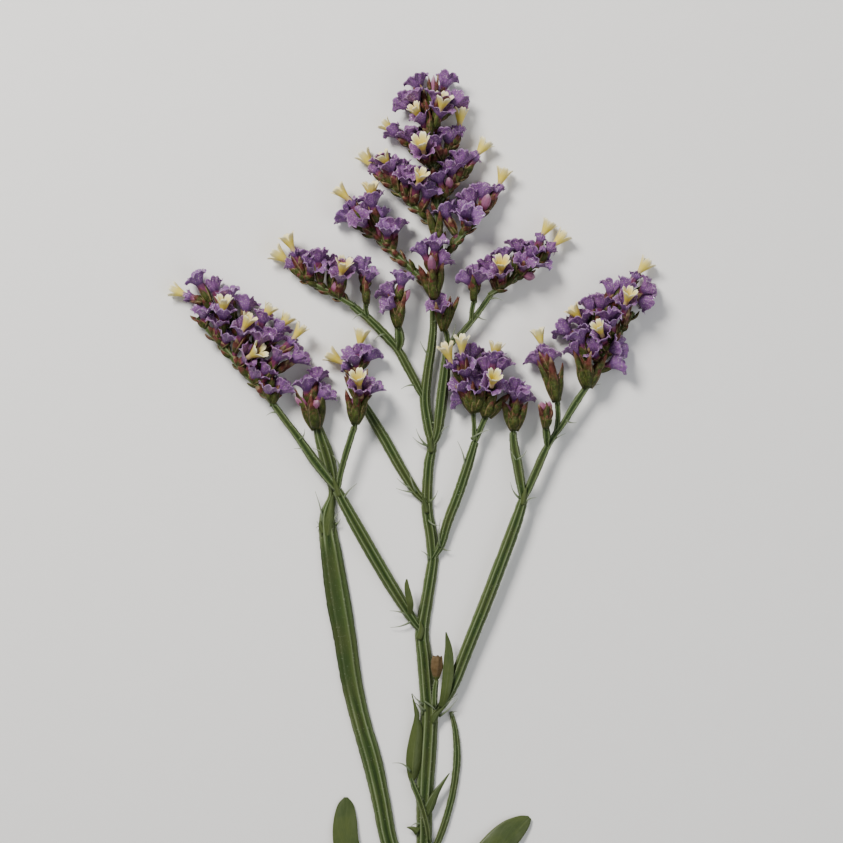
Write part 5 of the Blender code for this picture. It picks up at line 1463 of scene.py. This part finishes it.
def finish_surface(material, colour, field, least, spread, strength, depth, shine=0.5, coat=0.0,
                   relief=None):
    """Gives a material its colour, a roughness that grows from least by spread times a field, and
    bumps of some strength and depth that follow the same field, or another relief."""
    tree = material.node_tree
    shader = tree.nodes["Principled BSDF"]
    shader.inputs["Specular IOR Level"].default_value = shine
    shader.inputs["Coat Weight"].default_value = coat
    bumps = feed_all(tree, add_node(tree, "Bump"), Height=field if relief is None else relief,
                     Strength=strength, Distance=depth)
    feed_all(tree, shader, Base_Color=colour, Normal=bumps["Normal"],
             Roughness=calculate(tree, "MULTIPLY_ADD", field, spread, least))
    return material


def stem_material(settings):
    material, tree = new_material("winged_stem")
    ridge, side, breadth = growth_masks(tree)
    fibre = use_group(tree, "green_fibre", Scale=6.0)
    uneven = swayed(tree, ridge, fibre["Streak"], 0.5, 0.5)
    broad = mask(tree, breadth, 0.74, 0.84)
    colour = layered(tree, settings.furrow_and_shade,
                     (settings.face, mask(tree, uneven, 0.0, 0.34)),
                     (settings.rib, mask(tree, uneven, 0.42, 0.95)),
                     (settings.face, broad, 0.5),
                     # Painted shade: the left half of a broad stem is darkened towards the furrow colour.
                     (settings.furrow_and_shade, times(tree, broad, mask(tree, side, 0.46, 0.66)), 0.6),
                     (settings.blush, fibre["Patch"], 0.12),
                     (settings.hair, fibre["Speck"], 0.4))
    return finish_surface(material, colour, fibre["Streak"], least=0.34, spread=0.3, strength=0.5,
                          depth=0.0004, shine=0.14)


def hair_material(settings):
    """White hairs, and node points that are green at the root and pale at the tip."""
    material, tree = new_material("hair_and_points")
    along, is_point, _ = growth_masks(tree)
    point = tinted(tree, settings.face, settings.hair, along, 0.5)
    colour = tinted(tree, settings.hair, point, mask(tree, is_point, 0.1, 0.4))
    return finish_surface(material, colour, noise_field(tree, object_place(tree), HAIR_SCALE, 2.0),
                          least=0.3, spread=0.3, strength=0.2, depth=0.0002)


def leaf_material(settings):
    """A mottled blade with a pale midrib that fades to the tip, slanting veins and a pale margin."""
    material, tree = new_material("leaf_blade")
    across, along, _ = growth_masks(tree)
    fibre = use_group(tree, "green_fibre", Scale=1.6)
    off_rib = calculate(tree, "ABSOLUTE", minus(tree, across, 0.5))
    fading = minus(tree, 0.62, mask(tree, along, 0.3, 1.0), clamp=True)
    rib = times(tree, without(tree, off_rib, 0.008, 0.04), fading)
    slant = calculate(tree, "MULTIPLY_ADD", off_rib, -0.62, along)
    wave = calculate(tree, "SINE", times(tree, slant, VEIN_WAVES))
    vein = times(tree, mask(tree, wave, 0.88, 1.0), 0.12)
    pale = greatest(tree, greatest(tree, rib, vein), mask(tree, off_rib, 0.46, 0.497), clamp=True)
    pale = greatest(tree, pale, times(tree, fibre["Speck"], 0.5))
    colour = layered(tree, settings.blade, (settings.blade_deep, fibre["Patch"]),
                     (settings.margin, fibre["Streak"], 0.3), (settings.margin, pale, 0.8))
    return finish_surface(material, colour, fibre["Patch"], least=0.34, spread=0.15, strength=0.35,
                          depth=0.0003, shine=0.2, relief=fibre["Streak"])


def calyx_material(settings):
    """Purple paper, pale at the rim and dark in the funnel, partly its own colour and partly painted shade
    there, with veins, streaks, a fine grain and dots of painted highlight.
    """
    material, tree = new_material("papery_calyx")
    below, _, tint = growth_masks(tree)
    paper = use_group(tree, "papery_surface", Streaks=6.0, Scale=1.0)
    rim, limb, deep, tube = settings.rim, settings.limb, settings.limb_deep_and_shade, settings.tube
    # The deep stop darkens the limb near the throat: partly its own colour, partly painted shade inside the
    # funnel.
    plain = ramp(tree, swayed(tree, below, paper["Crinkle"], 0.5, 0.14),
                 ((0.0, rim), (0.022, limb), (0.26, limb), (0.44, deep), (0.56, tube), (0.78, tube),
                  (0.95, settings.bract)))
    lace = greatest(tree, times(tree, paper["Net"], 0.5), without(tree, paper["Streak"], 0.26, 0.44))
    limb_only = without(tree, below, 0.20, 0.50)
    colour = layered(tree, plain,
                     (tinted(tree, plain, (1.0, 0.74, 0.78), blend="MULTIPLY"), tint, 0.6),
                     (deep, mask(tree, paper["Streak"], 0.52, 0.72), 0.55),
                     (rim, times(tree, lace, limb_only), 0.34),
                     # Painted highlight: pale glint dots on the limb, in the petal rim colour.
                     (settings.petal_rim_and_glint, times(tree, paper["Glint"], limb_only), 0.42))
    return finish_surface(material, colour, paper["Crinkle"], least=0.32, spread=0.3, strength=0.9,
                          depth=0.0007, shine=0.25, coat=0.25)


def corolla_material(settings):
    """Cream lobes on a pink tube, some flowers warmer than others."""
    material, tree = new_material("cream_corolla")
    along, _, tint = growth_masks(tree)
    paper = use_group(tree, "papery_surface", Streaks=4.0, Scale=0.7)
    cream, throat, pale = settings.petal, settings.petal_throat, settings.petal_rim_and_glint
    pink = tuple(0.55 * light + 0.45 * dark for light, dark in zip(cream, settings.tube))
    plain = ramp(tree, along, ((0.0, pink), (0.22, pink), (0.42, throat), (0.58, throat),
                               (0.84, cream), (0.98, pale)))
    colour = layered(tree, plain,
                     (tinted(tree, plain, (1.0, 0.93, 0.74), blend="MULTIPLY"), tint),
                     (throat, mask(tree, paper["Streak"], 0.5, 0.7), 0.3))
    return finish_surface(material, colour, paper["Crinkle"], least=0.42, spread=0.2, strength=0.5,
                          depth=0.0004)


def bract_material(settings):
    """Green at the foot, brown towards the tip, and straw at the edges, with painted shade in the crinkles
    and a few painted glints.
    """
    material, tree = new_material("pointed_bract")
    along, across, tint = growth_masks(tree)
    paper = use_group(tree, "papery_surface", Streaks=5.0, Scale=0.8)
    green, brown, straw = settings.bract, settings.bract_tip, settings.straw
    plain = ramp(tree, swayed(tree, along, tint, 0.62, 0.8),
                 ((0.0, green), (0.34, green), (0.62, brown), (0.86, brown), (1.0, straw)))
    lit = layered(tree, plain, (straw, mask(tree, across, 0.74, 0.96), 0.75),
                  (brown, mask(tree, paper["Streak"], 0.5, 0.7), 0.5))
    shade = tinted(tree, lit, (0.45, 0.45, 0.45), blend="MULTIPLY")
    colour = layered(tree, shade, (lit, mask(tree, paper["Crinkle"], 0.40, 0.62)),
                     # Painted highlight: faint glint dots in the straw colour.
                     (straw, paper["Glint"], 0.2))
    return finish_surface(material, colour, paper["Crinkle"], least=0.40, spread=0.2, strength=0.8,
                          depth=0.0005, shine=0.15)


def bud_material(settings):
    """Lilac buds with pale tips, and brown cups where the tint is full."""
    material, tree = new_material("closed_bud")
    below, rib, tint = growth_masks(tree)
    paper = use_group(tree, "papery_surface", Streaks=4.0, Scale=0.8)
    bud, tube, green = settings.bud, settings.tube, settings.bract
    pale = tuple(0.2 + 0.8 * value for value in bud)
    dried = tinted(tree, green, settings.bract_tip, 0.5)
    cup = layered(tree, dried,
                  (tinted(tree, dried, settings.straw, 0.2), mask(tree, paper["Crinkle"], 0.38, 0.62)),
                  (green, mask(tree, below, 0.70, 0.86)))
    lilac = ramp(tree, below, ((0.0, pale), (0.16, bud), (0.45, bud), (0.6, tube), (1.0, green)))
    colour = layered(tree, lilac, (tube, rib, 0.35), (cup, mask(tree, tint, 0.8, 0.95)))
    return finish_surface(material, colour, paper["Crinkle"], least=0.45, spread=0.2, strength=0.8,
                          depth=0.0005, shine=0.2)


def floor_material(settings):
    material, tree = new_material("plain_floor")
    grain = noise_field(tree, object_place(tree), FLOOR_SCALE, 6.0)
    shade = tuple(0.97 * value for value in settings.floor)
    return finish_surface(material, tinted(tree, settings.floor, shade, grain), grain, least=0.75,
                          spread=0.1, strength=0.1, depth=0.0002)


# Stage

def add_soft_light(context, name, place, size, power, colour):
    data = bpy.data.lights.new(name, "AREA")
    data.shape = "DISK"
    data.size = size
    data.energy = power
    data.color = colour
    light = bpy.data.objects.new(name, data)
    light.location = place
    light.rotation_mode = "QUATERNION"
    target = Vector((VIEW_CENTRE[0], VIEW_CENTRE[1], 0)) * MM
    light.rotation_quaternion = (target - Vector(place)).to_track_quat("-Z", "Y")
    context.scene.collection.objects.link(light)


def add_camera(context, settings):
    """A far camera that looks straight down, with the cut end at the foot of the picture."""
    data = bpy.data.cameras.new("top_camera")
    data.lens = data.sensor_width * settings.camera_height / settings.view_width
    data.clip_end = CAMERA_REACH
    camera = bpy.data.objects.new("top_camera", data)
    camera.location = (VIEW_CENTRE[0] * MM, VIEW_CENTRE[1] * MM, settings.camera_height + VIEW_LEVEL * MM)
    context.scene.collection.objects.link(camera)
    context.scene.camera = camera


class STATICE_OT_add_stage(bpy.types.Operator):
    """Adds the pale floor, the soft studio light and the camera"""

    bl_idname = "statice.add_stage"
    bl_label = "Add stage"

    def execute(self, context):
        settings = context.scene.statice_stage
        bm = bmesh.new()
        bmesh.ops.create_grid(bm, x_segments=1, y_segments=1, size=FLOOR_HALF_SIDE)
        mesh = bpy.data.meshes.new("floor")
        bm.to_mesh(mesh)
        bm.free()
        mesh.materials.append(floor_material(settings))
        floor = bpy.data.objects.new("floor", mesh)
        context.scene.collection.objects.link(floor)
        for (name, place, size, colour), power in zip(LIGHTS, (settings.key_power, settings.fill_power)):
            add_soft_light(context, name, place, size, power, colour)
        world = bpy.data.worlds.new("studio")
        world.use_nodes = True
        tree = world.node_tree
        feed_all(tree, tree.nodes["Background"], Color=SKY_COLOUR, Strength=SKY_STRENGTH)
        context.scene.world = world
        add_camera(context, settings)
        return {"FINISHED"}


class STATICE_PT_panel(bpy.types.Panel):
    """Lists the pieces of the statice"""

    bl_label = "Statice"
    bl_idname = "STATICE_PT_panel"
    bl_space_type = "VIEW_3D"
    bl_region_type = "UI"
    bl_category = "Statice"

    def draw(self, context):
        for operator in OPERATORS:
            self.layout.operator(operator.bl_idname)
        for group in SETTINGS:
            settings = getattr(context.scene, group)
            box = self.layout.box()
            for name in settings.bl_rna.properties.keys():
                if name not in ("rna_type", "name"):
                    box.prop(settings, name)


OPERATORS = (
    STATICE_OT_add_stems, STATICE_OT_add_node_points, STATICE_OT_add_leaves, STATICE_OT_add_spike_axes,
    STATICE_OT_add_bracts, STATICE_OT_add_calyces, STATICE_OT_add_corollas, STATICE_OT_add_buds,
    STATICE_OT_add_stage,
)
SETTINGS = {
    "statice_stems": STATICE_PG_stems,
    "statice_leaves": STATICE_PG_leaves,
    "statice_flowers": STATICE_PG_flowers,
    "statice_stage": STATICE_PG_stage,
}


def register():
    for cls in (*SETTINGS.values(), *OPERATORS, STATICE_PT_panel):
        bpy.utils.register_class(cls)
    for name, group in SETTINGS.items():
        setattr(bpy.types.Scene, name, bpy.props.PointerProperty(type=group))


def unregister():
    for name in SETTINGS:
        delattr(bpy.types.Scene, name)
    for cls in reversed((*SETTINGS.values(), *OPERATORS, STATICE_PT_panel)):
        bpy.utils.unregister_class(cls)


def main():
    register()
    bpy.ops.statice.add_stems()
    bpy.ops.statice.add_node_points()
    bpy.ops.statice.add_leaves()
    bpy.ops.statice.add_spike_axes()
    bpy.ops.statice.add_bracts()
    bpy.ops.statice.add_calyces()
    bpy.ops.statice.add_corollas()
    bpy.ops.statice.add_buds()
    bpy.ops.statice.add_stage()


if __name__ == "__main__":
    main()
